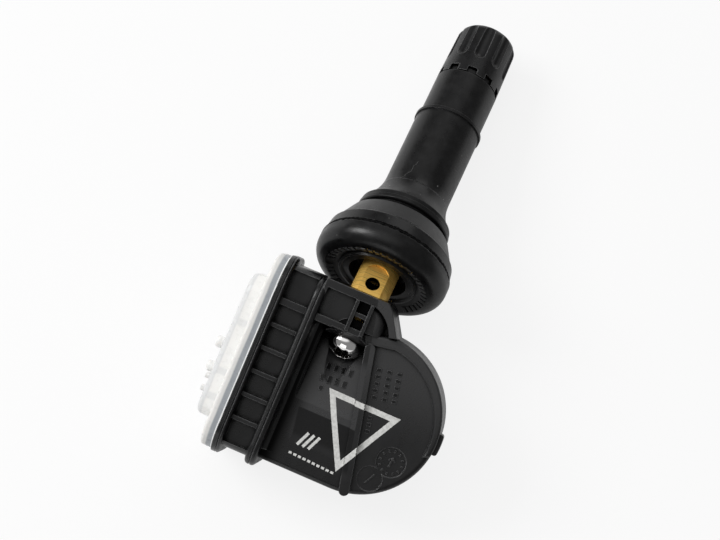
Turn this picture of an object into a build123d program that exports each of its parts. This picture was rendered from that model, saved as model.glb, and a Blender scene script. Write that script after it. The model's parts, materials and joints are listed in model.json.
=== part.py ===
"""Snap-in tyre pressure sensor: a moulded housing screwed to the inner end of a rubber valve.

The part lies as it comes to rest, on the rim of its valve cap and the lower edge of its housing.
The origin is the centre of the valve seat, where the rubber bears on the wheel rim.
All sizes are in millimetres and degrees.
"""
from build123d import *
from math import asin, atan2, cos, degrees, hypot, radians, sin, sqrt
import os

# Attitude: how far the stem falls below the marked face, and where the housing hangs on it
stem_drop = 30.0
face_height = 10.2
body_back = 22.6
body_side = 5.75

# Battery bay, the round end of the housing, measured from its centre at the marked face
body_radius = 11.5
body_depth = 11.5
wall = 1.3
floor_edge = 1.5
face_edge = 0.7
cove = 1.6

# Weld flange, ribbed neck and bead across the open end of the housing
flange_reach = 5.95
flange_thick = 1.2
flange_front = 16.5
flange_back = -13.3
flange_top = 2.6
flange_corner = 4.5
flange_edge = 0.45
flange_line_at = 0.6
neck_width = 3.8
neck_front = 15.5
neck_back = -12.0
neck_corner = 2.7
neck_floor = -0.2
rib_top = 1.5
rib_thick = 0.6
rib_pitch = 3.5
rib_count = 6
rib_first = -7.4
wide_rib = 1.0
end_bar = 0.9
end_lip = 0.7
bead_width = 1.6
bead_front = 15.3
bead_back = -12.9
bead_top = 2.4
bead_lift = 0.2
bead_corner = 3.0
bead_edge = 0.55
line_wide = 0.2
line_deep = 0.15
tongue_high = 0.7
tongue_wide = 0.8
tongue_inset = 0.6

# Valve block on the side of the bay
block_front = 15.6
block_back = 9.5
block_top = 1.8
block_low = -9.6
arm_wide = 1.1
arm_top_x = -2.1
arm_bend = (-1.25, 14.8)
arm_foot_x = 0.8
panel_floor = 0.6
hollow_floor = -2.2
hollow_bow = (-1.75, 13.35)
hollow_foot = 11.2
rail_wide = 1.15
rail_back = 8.9
rail_front = 10.4
strip_wide = 1.0
ladder_x = -5.1
ladder_gap = 1.7
ladder_rib = 0.5
ladder_bar = 0.6
ladder_proud = 0.35
shoulder_y = 12.05
shoulder_radius = 2.3
shoulder_top = 1.1
shoulder_edge = 1.2
window_deep = 2.6
boss_wall = 1.0

# Raised features of the marked face
rim_wide = 1.0
rim_high = 0.7
rim_edge = 0.35
rim_swell = 0.6
rim_start = -9.5
rim_end = 84.0
spine_wide = 1.5
spine_high = 0.7
spine_top = (-2.3, 9.4)
spine_foot = (2.3, -11.6)
lug_proud = 0.6
lug_high = 2.6
lug_drop = 0.4
lug_half_angle = 7.7
lug_corner = 0.4
clock_radius = 2.1
clock_place = (6.64, -4.74)
insert_radius = 1.78
insert_place = (4.75, -8.0)
disc_sink = 0.15
valley_start = -1.6
valley_slope = 18.0
valley_depth = 5.0
valley_wide_y = 3.0

# Rubber valve, measured along the stem from the seat
valve_radius = 10.0
valve_band = 2.3
valve_under = 3.4
under_edge = 2.2
under_dish = 0.5
parting_step = 0.12
band_taper = 0.35
seat_edge = 0.3
cone_radius = 7.7
cone_end = 3.0
rim_groove_radius = 6.4
rim_grip = 1.1
bulb_radius = 7.1
bulb_band = 1.4
bulb_ridge = 0.15
bulb_end = 10.5
sleeve_radius = 5.0
sleeve_end = 22.5
ring_radius = 5.2
ring_wide = 0.5
tip_radius = 4.75
shoulder_at = 30.4
spigot_radius = 4.35
spigot_end = 31.4
recess_radius = 4.4
recess_deep = 2.2
recess_draft = 0.3
ridge_radius = 5.7
ridge_wide = 0.6
ridge_high = 0.35

# Brass insert
post_radius = 2.85
post_end = -14.2
post_flat = 2.29
flat_end = -4.8
flat_cutter = 2.2
cross_hole_radius = 1.05
cross_hole_at = -7.7
insert_radius_top = 3.75
insert_step = -1.0
insert_end = 38.2
insert_chamfer = 0.4
collar_radius = 4.7
collar_length = 2.0
air_radius = 1.3
air_low = -9.5
core_bore_radius = 2.05
core_bore_low = 13.5
core_thread_radius = 2.62
core_seat_low = 29.4
core_seat_top = 31.4
gasket_rise = 0.2
fit = 0.05

# Valve core
core_top = 37.2
core_head_low = 31.5
core_waist = 1.9
core_waist_low = 29.5
core_tube_radius = 1.75
core_tube_low = 17.0
core_mouth = 0.72
core_hole = 0.9
spring_bore = 1.3
spring_low = 18.5
spring_bore_top = 29.0
bridge_wide = 3.0
bridge_deep = 2.0
pin_radius = 0.5
pin_top = 37.9
pin_head = 0.8
pin_head_high = 0.6
collar_at = 27.0
collar_high = 0.6
pin_collar = 1.12
plunger_radius = 1.6
plunger_high = 0.6
plunger_seal_high = 0.8
spring_wire = 0.15
spring_radius = 0.92
spring_turns = 6

# Cap
cap_foot = 30.6
cap_radius = 4.75
cap_top = 40.3
cap_top_radius = 4.55
cap_edge = 1.4
cap_seal_thick = 0.8
cap_seal_radius = 3.6
skirt_depth = 1.5
cap_phase = 18.0
tooth_count = 10
tooth_high = 1.0
tooth_share = 0.5
flute_count = 10
flute_radius = 1.1
flute_sink = 0.4
flute_from = 34.6
running_gap = 0.1

# Retaining screw
seat_wall = 3.0
head_radius = 2.2
head_high = 0.9
head_edge = 0.7
screw_radius = 1.4
screw_length = 6.0
screw_gap = 0.1
tap_depth = 3.4
star_core = 0.9
star_lobe = 0.3
star_lobes = 6
star_deep = 0.7
pocket_gap = 0.35

# Cover over the open end
cover_inset = 0.3
cover_rim = 1.85
cover_edge = 0.5
plateau_front = 12.2
plateau_back = -9.3
plateau_top = -0.6
plateau_low = -9.4
plateau_high = 2.45
plateau_corner = 2.8
plateau_edge = 0.8
cover_wall = 1.2
groove_gap = 0.1
plug_deep = 1.0
plug_wall = 1.0
cover_rib = 0.6
cover_rib_places = (5.0, -2.4, -6.2)
slide_gap = 0.15
nub_radius = 0.85
nub_high = 1.2
nub_edge = 0.5
nub_places = ((1.2, -2.4), (-2.5, -3.2))
pip_radius = 0.45
pip_high = 0.6
pip_places = ((-3.8, -1.9), (-5.7, -2.2))

# Electronics
cell_gap = 0.2
cell_high = 3.2
cell_edge = 0.35
strip_thick = 0.25
strip_width = 2.5
minus_y = -6.0
minus_gap = 2.0
minus_end_x = -4.0
plus_y = -2.5
plus_gap = 0.6
plus_end_x = -3.0
board_thick = 1.0
board_gap = 0.3
board_end_gap = 0.85
board_side_gap = 0.3
notch_left = -9.4
notch_right = -0.9
notch_back = 5.4
ledge_wide = 1.0
ledge_thick = 0.45
far_ledge_angle = 25.0
chip_y = 2.0
chip_gap = 0.9
chip_size = 4.4
chip_high = 2.0
chip_corner = 0.3
port_radius = 0.7
seal_radius = 1.8
seal_bore = 0.8
coil_y = -3.5
coil_inset = 1.2
coil_length = 8.0
coil_wide = 3.0
coil_high = 2.6
coil_end = 1.2
coil_waist = 0.4
radio_place = (2.2, -2.6)
radio_size = 5.0
radio_high = 0.9
crystal_place = (-4.2, -5.6)
crystal_length = 3.2
crystal_wide = 2.5
crystal_high = 0.8
capacitor_y = 3.0
capacitor_gap = 0.3
capacitor_size = (1.6, 0.8, 0.8)
capacitor_pitch = 2.2
antenna_inset = 1.1
antenna_thick = 0.4
antenna_high = 2.4
antenna_half_angle = 62.0

# Levels and places that follow from the sizes above
ceiling = -wall
floor_level = -body_depth + wall
cell_low = floor_level + strip_thick
cell_top = cell_low + cell_high
board_low = cell_top + strip_thick + board_gap
board_top = board_low + board_thick
bay_inner = body_radius - wall
cell_radius = bay_inner - cell_gap
minus_x = -cell_radius - minus_gap
plus_x = -cell_radius - plus_gap
chip_place = (-cell_radius - chip_gap - chip_size / 2, chip_y)
board_radius = bay_inner - board_side_gap
antenna_radius = board_radius - antenna_inset
flange_x = -body_radius - flange_reach
neck_x = flange_x + flange_thick
bead_x = neck_x + neck_width
bay_x = bead_x + bead_width
board_x = flange_x + plug_deep + board_end_gap
coil_place = (board_x + coil_inset + coil_wide / 2, coil_y)
neck_middle = (neck_x + bead_x) / 2
under_face = -valve_band - valve_under
bulb_low = cone_end + rim_grip
screw_seat = post_end - seat_wall
boss_radius = post_radius + fit + boss_wall
cap_bore = insert_radius_top + running_gap
cap_inner_top = insert_end + cap_seal_thick
stem_reach = body_back + body_radius

# The part lies on the bay's lower edge and the cap's rim, which gives the lean of the marked face
drop = radians(stem_drop)
edge_centre = (-body_back - body_radius + floor_edge, face_height - body_depth + floor_edge)
cap_edge_along = cap_top - cap_edge
cap_edge_down = cap_top_radius - cap_edge
cap_centre = (
    cap_edge_along * cos(drop) - cap_edge_down * sin(drop),
    -cap_edge_along * sin(drop) - cap_edge_down * cos(drop),
)
reach = (cap_centre[0] - edge_centre[0], cap_centre[1] - edge_centre[1])
lean = -atan2(reach[1], reach[0]) - asin((floor_edge - cap_edge) / hypot(*reach))

# The boss ends where its upper side meets the front of the block
boss_end = (block_front - body_back - boss_radius * sin(drop)) / cos(drop)

# The flange reaches down to the surface that the bay's lower edge lies on
bay_touch = (body_radius - floor_edge) * sin(lean) + (body_depth - floor_edge) * cos(lean) + floor_edge
flange_touch = (-flange_back - flange_corner) * sin(lean) + flange_corner
flange_low = -flange_corner - (bay_touch - flange_touch) / cos(lean)
bead_low = -body_depth + bead_lift

# Planes: the deck is the marked face, and the stem plane lies across the valve at its seat
level = Plane(origin=(0, 0, 0), x_dir=(1, 0, 0), z_dir=(0, -sin(lean), cos(lean)))
deck = Plane(
    origin=level.from_local_coords((body_side, -body_back, face_height)),
    x_dir=level.x_dir,
    z_dir=level.z_dir,
)
slope = drop - lean
stem_dir = Vector(0, cos(slope), -sin(slope))
stem_up = Vector(0, sin(slope), cos(slope))
stem = Plane(origin=(0, 0, 0), x_dir=(-1, 0, 0), z_dir=stem_dir)
section = Plane(origin=(0, 0, 0), x_dir=(1, 0, 0), z_dir=stem_up)
stem_axis = Axis((0, 0, 0), stem_dir)
tip_over = radians(valley_slope)
valley_floor = Plane(
    origin=deck.from_local_coords((0, valley_start, 0)),
    x_dir=deck.x_dir,
    z_dir=deck.z_dir * cos(tip_over) + deck.y_dir * sin(tip_over),
)
deck_axis = Axis(deck.origin, deck.z_dir)


def across(x):
    """Plane across the housing at x, with its own x towards the valve and its y up from the face."""
    return Plane(origin=deck.from_local_coords((x, 0, 0)), x_dir=deck.y_dir, z_dir=deck.x_dir)


def beside(y):
    """Plane along the housing at y, with its own x away from the bead and its y up from the face."""
    return Plane(origin=deck.from_local_coords((bay_x, y, 0)), x_dir=deck.x_dir, z_dir=-deck.y_dir)


def rounded_end(back, front, low, top, corner, mode=Mode.ADD):
    """Rounded outline across the housing, drawn in a sketch on an across plane."""
    with Locations(((back + front) / 2, (low + top) / 2)):
        RectangleRounded(front - back, top - low, corner, mode=mode)


def flange_outline(inset, mode=Mode.ADD):
    """Outline of the weld flange moved inwards by an inset."""
    rounded_end(
        flange_back + inset,
        flange_front - inset,
        flange_low + inset,
        flange_top - inset,
        flange_corner - inset,
        mode,
    )


def span(x_low, x_high, y_low, y_high, mode=Mode.ADD):
    """Rectangle between two corners, drawn in a sketch."""
    with Locations(((x_low + x_high) / 2, (y_low + y_high) / 2)):
        Rectangle(x_high - x_low, y_high - y_low, mode=mode)


def turned(*points, mode=Mode.ADD):
    """Solid turned about the stem from the (radius, distance) corners of half its section."""
    with BuildSketch(section) as profile:
        with BuildLine():
            Polyline(*points, close=True)
        make_face()
    revolve(profile.sketch, axis=stem_axis, mode=mode)


def block(low, high, x_low, x_high, y_low, y_high, mode=Mode.ADD):
    """Box on the deck between two heights."""
    with BuildSketch(deck.offset(low)) as base:
        span(x_low, x_high, y_low, y_high)
    extrude(base.sketch, amount=high - low, mode=mode)


os.makedirs("parts", exist_ok=True)

# Sloping valley between the bead and the spine, which leads a driver to the screw
spine_run = (spine_foot[0] - spine_top[0]) / (spine_foot[1] - spine_top[1])
spine_at_valley = spine_top[0] + (valley_start - spine_top[1]) * spine_run
with BuildPart() as valley:
    with BuildSketch(deck.offset(-valley_depth)):
        with BuildLine():
            Polyline(
                (bay_x + cove, valley_start),
                (spine_at_valley, valley_start),
                spine_top,
                (spine_top[0], block_back),
                (bay_x, block_back),
                (bay_x, valley_wide_y),
                close=True,
            )
        make_face()
    extrude(amount=valley_depth)
    split(bisect_by=valley_floor, keep=Keep.TOP)

# Roof of the inside under that valley
with BuildPart() as valley_roof:
    with BuildSketch(deck.offset(-valley_depth - wall)):
        span(bay_x - wall, spine_at_valley + wall, valley_start - wall, body_radius)
    extrude(amount=valley_depth + wall)
    split(bisect_by=valley_floor.offset(-wall), keep=Keep.TOP)

# Space inside the housing, less that roof, the boss for the valve and the ledges under the board
with BuildPart() as cavity:
    with BuildSketch(deck.offset(floor_level)):
        Circle(bay_inner)
        span(flange_x - tongue_high, 0, -bay_inner, bay_inner)
    extrude(amount=ceiling - floor_level)
    add(valley_roof.part, mode=Mode.SUBTRACT)
    with BuildSketch(stem.offset(-stem_reach)):
        Circle(boss_radius)
    extrude(amount=stem_reach, mode=Mode.SUBTRACT)
    with BuildSketch(deck.offset(board_low - ledge_thick)):
        span(neck_x, bay_x, bay_inner - ledge_wide, bay_inner)
        span(neck_x, bay_x, -bay_inner, ledge_wide - bay_inner)
        with BuildLine():
            far_ledge = CenterArc((0, 0), bay_inner, -far_ledge_angle, 2 * far_ledge_angle)
            Line(far_ledge @ 1, far_ledge @ 0)
        make_face()
    extrude(amount=ledge_thick, mode=Mode.SUBTRACT)

# Bead with the fine line round its crown
with BuildPart() as bead:
    with BuildSketch(across(bead_x)):
        rounded_end(bead_back, bead_front, bead_low, bead_top, bead_corner)
    extrude(amount=bead_width)
    fillet(bead.faces().sort_by(Axis.X)[0].edges() + bead.faces().sort_by(Axis.X)[-1].edges(), bead_edge)
    with BuildSketch(across(bead_x + (bead_width - line_wide) / 2)):
        rounded_end(bead_back, bead_front, bead_low, bead_top, bead_corner)
        rounded_end(
            bead_back + line_deep,
            bead_front - line_deep,
            bead_low + line_deep,
            bead_top - line_deep,
            bead_corner - line_deep,
            Mode.SUBTRACT,
        )
    extrude(amount=line_wide, mode=Mode.SUBTRACT)

# Weld flange with the tongue that sinks into the cover
with BuildPart() as flange:
    with BuildSketch(across(flange_x)):
        flange_outline(0)
    extrude(amount=flange_thick)
    fillet(flange.faces().sort_by(Axis.X)[-1].edges(), flange_edge)
    with BuildSketch(across(flange_x + flange_line_at)):
        flange_outline(0)
        flange_outline(line_deep, Mode.SUBTRACT)
    extrude(amount=line_wide, mode=Mode.SUBTRACT)
    with BuildSketch(across(flange_x)):
        flange_outline(tongue_inset)
        flange_outline(tongue_inset + tongue_wide, Mode.SUBTRACT)
    extrude(amount=-tongue_high)

# Raised rim round the face, swelling towards the rail that carries it on to the ladder
ladder_left = ladder_x - ladder_gap / 2
ladder_right = ladder_x + ladder_gap / 2
panel_front = block_front - rail_wide
panel_back = block_back + strip_wide
with BuildPart() as rim:
    with BuildSketch(deck.offset(-face_edge)):
        with BuildLine():
            outer = CenterArc((0, 0), body_radius, rim_start, rim_end - rim_start)
            inner = CenterArc((0, -rim_swell), body_radius - rim_wide, rim_start, rim_end - rim_start)
            Line(outer @ 0, inner @ 0)
            rail_x = ladder_right + ladder_rib / 2
            Polyline(outer @ 1, (rail_x, rail_front), (rail_x, rail_back), inner @ 1)
        make_face()
    extrude(amount=face_edge + rim_high)
    fillet(rim.faces().sort_by(deck_axis)[-1].edges(), rim_edge)

# Rounded shoulder of the boss beside the ladder
with BuildPart() as shoulder:
    with BuildSketch(deck.offset(hollow_floor)):
        with Locations((ladder_right, shoulder_y)):
            Circle(shoulder_radius + ladder_rib)
        span(ladder_right, ladder_right + ladder_rib + shoulder_radius, panel_back, shoulder_y)
        span(ladder_right - body_radius, ladder_right, 0, block_front, Mode.SUBTRACT)
        span(ladder_right, 0, 0, panel_back, Mode.SUBTRACT)
    extrude(amount=shoulder_top - hollow_floor)
    fillet(shoulder.faces().sort_by(deck_axis)[-1].edges().filter_by(GeomType.CIRCLE), shoulder_edge)

# Housing
arm_foot = (arm_foot_x, sqrt(body_radius**2 - arm_foot_x**2))
window_middle = (panel_back + panel_front) / 2
spine_length = hypot(spine_foot[0] - spine_top[0], spine_foot[1] - spine_top[1])
spine_middle = ((spine_top[0] + spine_foot[0]) / 2, (spine_top[1] + spine_foot[1]) / 2)
spine_angle = degrees(atan2(spine_foot[1] - spine_top[1], spine_foot[0] - spine_top[0]))
with BuildPart() as housing:
    # Round bay with its straight side
    with BuildSketch(deck.offset(-body_depth)):
        Circle(body_radius)
        span(bead_x, 0, -body_radius, body_radius)
    extrude(amount=body_depth)
    fillet(housing.faces().sort_by(deck_axis)[0].edges(), floor_edge)
    fillet(housing.faces().sort_by(deck_axis)[-1].edges(), face_edge)

    # Block that the valve is screwed to, with its slanted arm
    with BuildSketch(deck.offset(block_low)):
        with BuildLine():
            Polyline(
                (bay_x - bead_edge, block_back),
                (ladder_right + ladder_rib, block_back),
                (ladder_right + ladder_rib, panel_back),
                (arm_foot_x - arm_wide, hollow_foot),
                arm_foot,
                arm_bend,
                (arm_top_x, block_front),
                (bay_x - bead_edge, block_front),
                close=True,
            )
        make_face()
    extrude(amount=block_top - block_low)

    # Recessed panel, and the hollow between the boss and the arm
    block(panel_floor, block_top, bay_x, ladder_left - ladder_rib, panel_back, panel_front, Mode.SUBTRACT)
    with BuildSketch(deck.offset(hollow_floor)):
        with BuildLine():
            bow = ThreePointArc(
                (ladder_right + ladder_rib, panel_front), hollow_bow, (arm_foot_x - arm_wide, hollow_foot)
            )
            Polyline(bow @ 1, (ladder_right + ladder_rib, panel_back), bow @ 0)
        make_face()
    extrude(amount=block_top - hollow_floor, mode=Mode.SUBTRACT)
    add(shoulder.part)

    # Boss round the valve's brass end
    with BuildSketch(stem.offset(screw_seat)):
        Circle(boss_radius)
    extrude(amount=boss_end - screw_seat)

    # Ladder over the boss: two proud ribs with windows between them
    for rib_x in (ladder_left - ladder_rib, ladder_right):
        block(block_top, block_top + ladder_proud, rib_x, rib_x + ladder_rib, block_back, panel_front)
    with BuildSketch(deck.offset(block_top - window_deep)):
        span(ladder_left, ladder_right, panel_back, window_middle - ladder_bar / 2)
        span(ladder_left, ladder_right, window_middle + ladder_bar / 2, panel_front)
    extrude(amount=window_deep, mode=Mode.SUBTRACT)

    # Neck with its pockets between ribs
    with BuildSketch(across(neck_x)):
        rounded_end(neck_back, neck_front, bead_low, rib_top, neck_corner)
    extrude(amount=neck_width)
    with BuildSketch(deck.offset(neck_floor)):
        span(neck_x, bead_x, neck_back + end_bar, neck_front - end_lip)
        with Locations(*[(neck_middle, rib_first + n * rib_pitch) for n in range(rib_count - 1)]):
            Rectangle(neck_width, rib_thick, mode=Mode.SUBTRACT)
        with Locations((neck_middle, rib_first + (rib_count - 1) * rib_pitch)):
            Rectangle(neck_width, wide_rib, mode=Mode.SUBTRACT)
    extrude(amount=rib_top - neck_floor, mode=Mode.SUBTRACT)

    # Bead and weld flange, with a cove from the bead down to the face
    add(bead.part)
    add(flange.part)
    with BuildSketch(beside(block_back)):
        with BuildLine():
            cove_arc = CenterArc((cove, cove), cove, 180, 90)
            Polyline(cove_arc @ 1, (0, 0), cove_arc @ 0)
        make_face()
    extrude(amount=block_back + body_radius - floor_edge)
    add(valley.part, mode=Mode.SUBTRACT)

    # Raised rim round the face, its lug and the spine
    add(rim.part)
    with BuildSketch(deck.offset(-lug_drop)) as lug:
        with BuildLine():
            outer = CenterArc((0, 0), body_radius + lug_proud, -lug_half_angle, 2 * lug_half_angle)
            inner = CenterArc((0, 0), body_radius - rim_wide, -lug_half_angle, 2 * lug_half_angle)
            Line(outer @ 0, inner @ 0)
            Line(outer @ 1, inner @ 1)
        make_face()
        fillet(lug.vertices().sort_by(Axis.X)[-2:], lug_corner)
    extrude(amount=-lug_high)
    with BuildSketch(deck.offset(-face_edge)):
        with Locations(Location(spine_middle, spine_angle)):
            SlotOverall(spine_length, spine_wide)
    extrude(amount=face_edge + spine_high)

    # Sunk discs of the mould marks
    with BuildSketch(deck.offset(-disc_sink)):
        with Locations(clock_place):
            Circle(clock_radius)
        with Locations(insert_place):
            Circle(insert_radius)
    extrude(amount=disc_sink, mode=Mode.SUBTRACT)

    # Inside, the valve's socket, the screw's pocket and hole, room for the rubber, and the air port
    add(cavity.part, mode=Mode.SUBTRACT)
    with BuildSketch(stem.offset(post_end)):
        Circle(post_radius + fit)
    extrude(amount=-post_end, mode=Mode.SUBTRACT)
    with BuildSketch(stem.offset(screw_seat)):
        Circle(head_radius + pocket_gap)
        span(-head_radius - pocket_gap, head_radius + pocket_gap, 0, stem_reach)
    extrude(amount=-stem_reach, mode=Mode.SUBTRACT)
    with BuildSketch(stem.offset(screw_seat)):
        Circle(screw_radius + screw_gap)
    extrude(amount=seat_wall, mode=Mode.SUBTRACT)
    with BuildSketch(stem.offset(under_face - boss_wall)):
        Circle(valve_radius + boss_wall)
    extrude(amount=valve_under + valve_band + boss_wall, mode=Mode.SUBTRACT)
    with BuildSketch(deck.offset(-body_depth)):
        with Locations(chip_place):
            Circle(port_radius)
    extrude(amount=body_depth + floor_level, mode=Mode.SUBTRACT)
housing.part.label = "housing"
export_step(housing.part, "parts/housing.step")

# Cover welded over the open end, with the groove for the tongue and a plug inside the mouth
cover_x = flange_x - cover_rim
plateau_x = cover_x - plateau_high
with BuildPart() as cover:
    with BuildSketch(across(flange_x)):
        flange_outline(cover_inset)
    extrude(amount=-cover_rim)
    fillet(cover.faces().sort_by(Axis.X)[0].edges(), cover_edge)
    with BuildSketch(across(cover_x)):
        rounded_end(plateau_back, plateau_front, plateau_low, plateau_top, plateau_corner)
    extrude(amount=-plateau_high)
    fillet(cover.faces().sort_by(Axis.X)[0].edges(), plateau_edge)
    with BuildSketch(across(plateau_x)):
        with Locations(*nub_places):
            Circle(nub_radius)
    extrude(amount=-nub_high)
    fillet(cover.faces().sort_by(Axis.X)[:len(nub_places)].edges(), nub_edge)
    with BuildSketch(across(plateau_x)):
        with Locations(*pip_places):
            Circle(pip_radius)
    extrude(amount=-pip_high)
    with BuildSketch(across(flange_x)):
        rounded_end(
            slide_gap - bay_inner,
            bay_inner - slide_gap,
            floor_level + slide_gap,
            ceiling - slide_gap,
            plug_wall,
        )
    extrude(amount=plug_deep)
    with BuildSketch(across(flange_x + plug_deep)):
        rounded_end(
            plateau_back + cover_wall,
            bay_inner - slide_gap - plug_wall,
            floor_level + slide_gap + plug_wall,
            ceiling - slide_gap - plug_wall,
            plug_wall,
        )
    extrude(amount=plateau_x + cover_wall - flange_x - plug_deep, mode=Mode.SUBTRACT)
    with BuildSketch(across(plateau_x + cover_wall)):
        with Locations(*[(y, (plateau_low + plateau_top) / 2) for y in cover_rib_places]):
            Rectangle(cover_rib, plateau_top - plateau_low)
    extrude(amount=plateau_high - cover_wall)
    with BuildSketch(across(flange_x)):
        flange_outline(tongue_inset - groove_gap)
        flange_outline(tongue_inset + tongue_wide + groove_gap, Mode.SUBTRACT)
    extrude(amount=-tongue_high - groove_gap, mode=Mode.SUBTRACT)
cover.part.label = "cover"
export_step(cover.part, "parts/cover.step")

# Coin cell
with BuildPart() as battery_cell:
    with BuildSketch(deck.offset(cell_low)):
        Circle(cell_radius)
    extrude(amount=cell_high)
    fillet(battery_cell.edges(), cell_edge)
battery_cell.part.label = "battery_cell"
export_step(battery_cell.part, "parts/battery_cell.step")

# Welded strips from the cell's two faces up to the board
with BuildPart() as battery_strip_minus:
    with BuildSketch(deck.offset(floor_level)):
        span(minus_x, minus_end_x, minus_y - strip_width / 2, minus_y + strip_width / 2)
    extrude(amount=strip_thick)
    with BuildSketch(deck.offset(floor_level)):
        span(minus_x, minus_x + strip_thick, minus_y - strip_width / 2, minus_y + strip_width / 2)
    extrude(amount=board_low - floor_level)
battery_strip_minus.part.label = "battery_strip_minus"
export_step(battery_strip_minus.part, "parts/battery_strip_minus.step")

with BuildPart() as battery_strip_plus:
    with BuildSketch(deck.offset(cell_top)):
        span(plus_x, plus_end_x, plus_y - strip_width / 2, plus_y + strip_width / 2)
    extrude(amount=strip_thick)
    with BuildSketch(deck.offset(cell_top)):
        span(plus_x, plus_x + strip_thick, plus_y - strip_width / 2, plus_y + strip_width / 2)
    extrude(amount=board_low - cell_top)
battery_strip_plus.part.label = "battery_strip_plus"
export_step(battery_strip_plus.part, "parts/battery_strip_plus.step")

# Circuit board, notched round the valve's boss
with BuildPart() as circuit_board:
    with BuildSketch(deck.offset(board_low)):
        Circle(board_radius)
        span(board_x, 0, -board_radius, board_radius)
        span(notch_left, notch_right, notch_back, bay_inner, Mode.SUBTRACT)
    extrude(amount=board_thick)
circuit_board.part.label = "circuit_board"
export_step(circuit_board.part, "parts/circuit_board.step")

# Pressure chip under the board, sealed to the air port in the floor
with BuildPart() as pressure_chip:
    with BuildSketch(deck.offset(board_low)):
        with Locations(chip_place):
            RectangleRounded(chip_size, chip_size, chip_corner)
    extrude(amount=-chip_high)
    with BuildSketch(deck.offset(board_low - chip_high)):
        with Locations(chip_place):
            Circle(port_radius)
    extrude(amount=chip_high / 2, mode=Mode.SUBTRACT)
pressure_chip.part.label = "pressure_chip"
export_step(pressure_chip.part, "parts/pressure_chip.step")

with BuildPart() as port_seal:
    with BuildSketch(deck.offset(floor_level)):
        with Locations(chip_place):
            Circle(seal_radius)
            Circle(seal_bore, mode=Mode.SUBTRACT)
    extrude(amount=board_low - chip_high - floor_level)
port_seal.part.label = "port_seal"
export_step(port_seal.part, "parts/port_seal.step")

# Wake-up coil: a ferrite bobbin with its winding in one piece
with BuildPart() as wake_coil:
    with BuildSketch(deck.offset(board_top)):
        with Locations(coil_place):
            Rectangle(coil_wide, coil_length)
    extrude(amount=coil_high)
    with BuildSketch(deck.offset(board_top + coil_high)):
        with Locations(coil_place):
            Rectangle(coil_wide, coil_length - 2 * coil_end)
    extrude(amount=-coil_waist, mode=Mode.SUBTRACT)
wake_coil.part.label = "wake_coil"
export_step(wake_coil.part, "parts/wake_coil.step")

with BuildPart() as radio_chip:
    with BuildSketch(deck.offset(board_top)):
        with Locations(radio_place):
            Rectangle(radio_size, radio_size)
    extrude(amount=radio_high)
radio_chip.part.label = "radio_chip"
export_step(radio_chip.part, "parts/radio_chip.step")

with BuildPart() as crystal:
    with BuildSketch(deck.offset(board_top)):
        with Locations(crystal_place):
            RectangleRounded(crystal_length, crystal_wide, chip_corner)
    extrude(amount=crystal_high)
crystal.part.label = "crystal"
export_step(crystal.part, "parts/crystal.step")

capacitor_x = spine_at_valley + wall + capacitor_gap + (capacitor_pitch + capacitor_size[0]) / 2
with BuildPart() as capacitors:
    with BuildSketch(deck.offset(board_top)):
        with Locations((capacitor_x, capacitor_y)):
            with GridLocations(capacitor_pitch, capacitor_pitch, 2, 3):
                Rectangle(capacitor_size[0], capacitor_size[1])
    extrude(amount=capacitor_size[2])
capacitors.part.label = "capacitors"
export_step(capacitors.part, "parts/capacitors.step")

# Loop aerial: a strip on edge round the far end of the board
with BuildPart() as antenna_loop:
    with BuildSketch(deck.offset(board_top)):
        with BuildLine():
            outer = CenterArc((0, 0), antenna_radius, -antenna_half_angle, 2 * antenna_half_angle)
            inner = CenterArc(
                (0, 0), antenna_radius - antenna_thick, -antenna_half_angle, 2 * antenna_half_angle
            )
            Line(outer @ 0, inner @ 0)
            Line(outer @ 1, inner @ 1)
        make_face()
    extrude(amount=antenna_high)
antenna_loop.part.label = "antenna_loop"
export_step(antenna_loop.part, "parts/antenna_loop.step")

# Brass insert: the post with its flat, the body bonded into the rubber and the threaded tip
with BuildPart() as brass_insert:
    turned(
        (0, post_end),
        (post_radius, post_end),
        (post_radius, insert_step),
        (insert_radius_top, insert_step),
        (insert_radius_top, bulb_low),
        (collar_radius, bulb_low),
        (collar_radius, bulb_low + collar_length),
        (insert_radius_top, bulb_low + collar_length),
        (insert_radius_top, insert_end - insert_chamfer),
        (insert_radius_top - insert_chamfer, insert_end),
        (0, insert_end),
    )
    with BuildSketch(section.offset(post_flat)):
        span(-flat_cutter, flat_cutter, post_end, flat_end - flat_cutter)
        with Locations((0, flat_end - flat_cutter)):
            Circle(flat_cutter)
    extrude(amount=post_radius, mode=Mode.SUBTRACT)
    turned(
        (0, air_low),
        (air_radius, air_low),
        (air_radius, core_bore_low),
        (core_bore_radius, core_bore_low),
        (core_bore_radius, core_seat_low),
        (core_thread_radius, core_seat_top),
        (core_thread_radius, insert_end),
        (0, insert_end),
        mode=Mode.SUBTRACT,
    )
    turned(
        (0, post_end),
        (screw_radius + fit / 2, post_end),
        (screw_radius + fit / 2, post_end + tap_depth),
        (0, post_end + tap_depth),
        mode=Mode.SUBTRACT,
    )
    with BuildSketch(section):
        with Locations((0, cross_hole_at)):
            Circle(cross_hole_radius)
    extrude(amount=post_radius, mode=Mode.SUBTRACT)
brass_insert.part.label = "brass_insert"
export_step(brass_insert.part, "parts/brass_insert.step")

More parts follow.
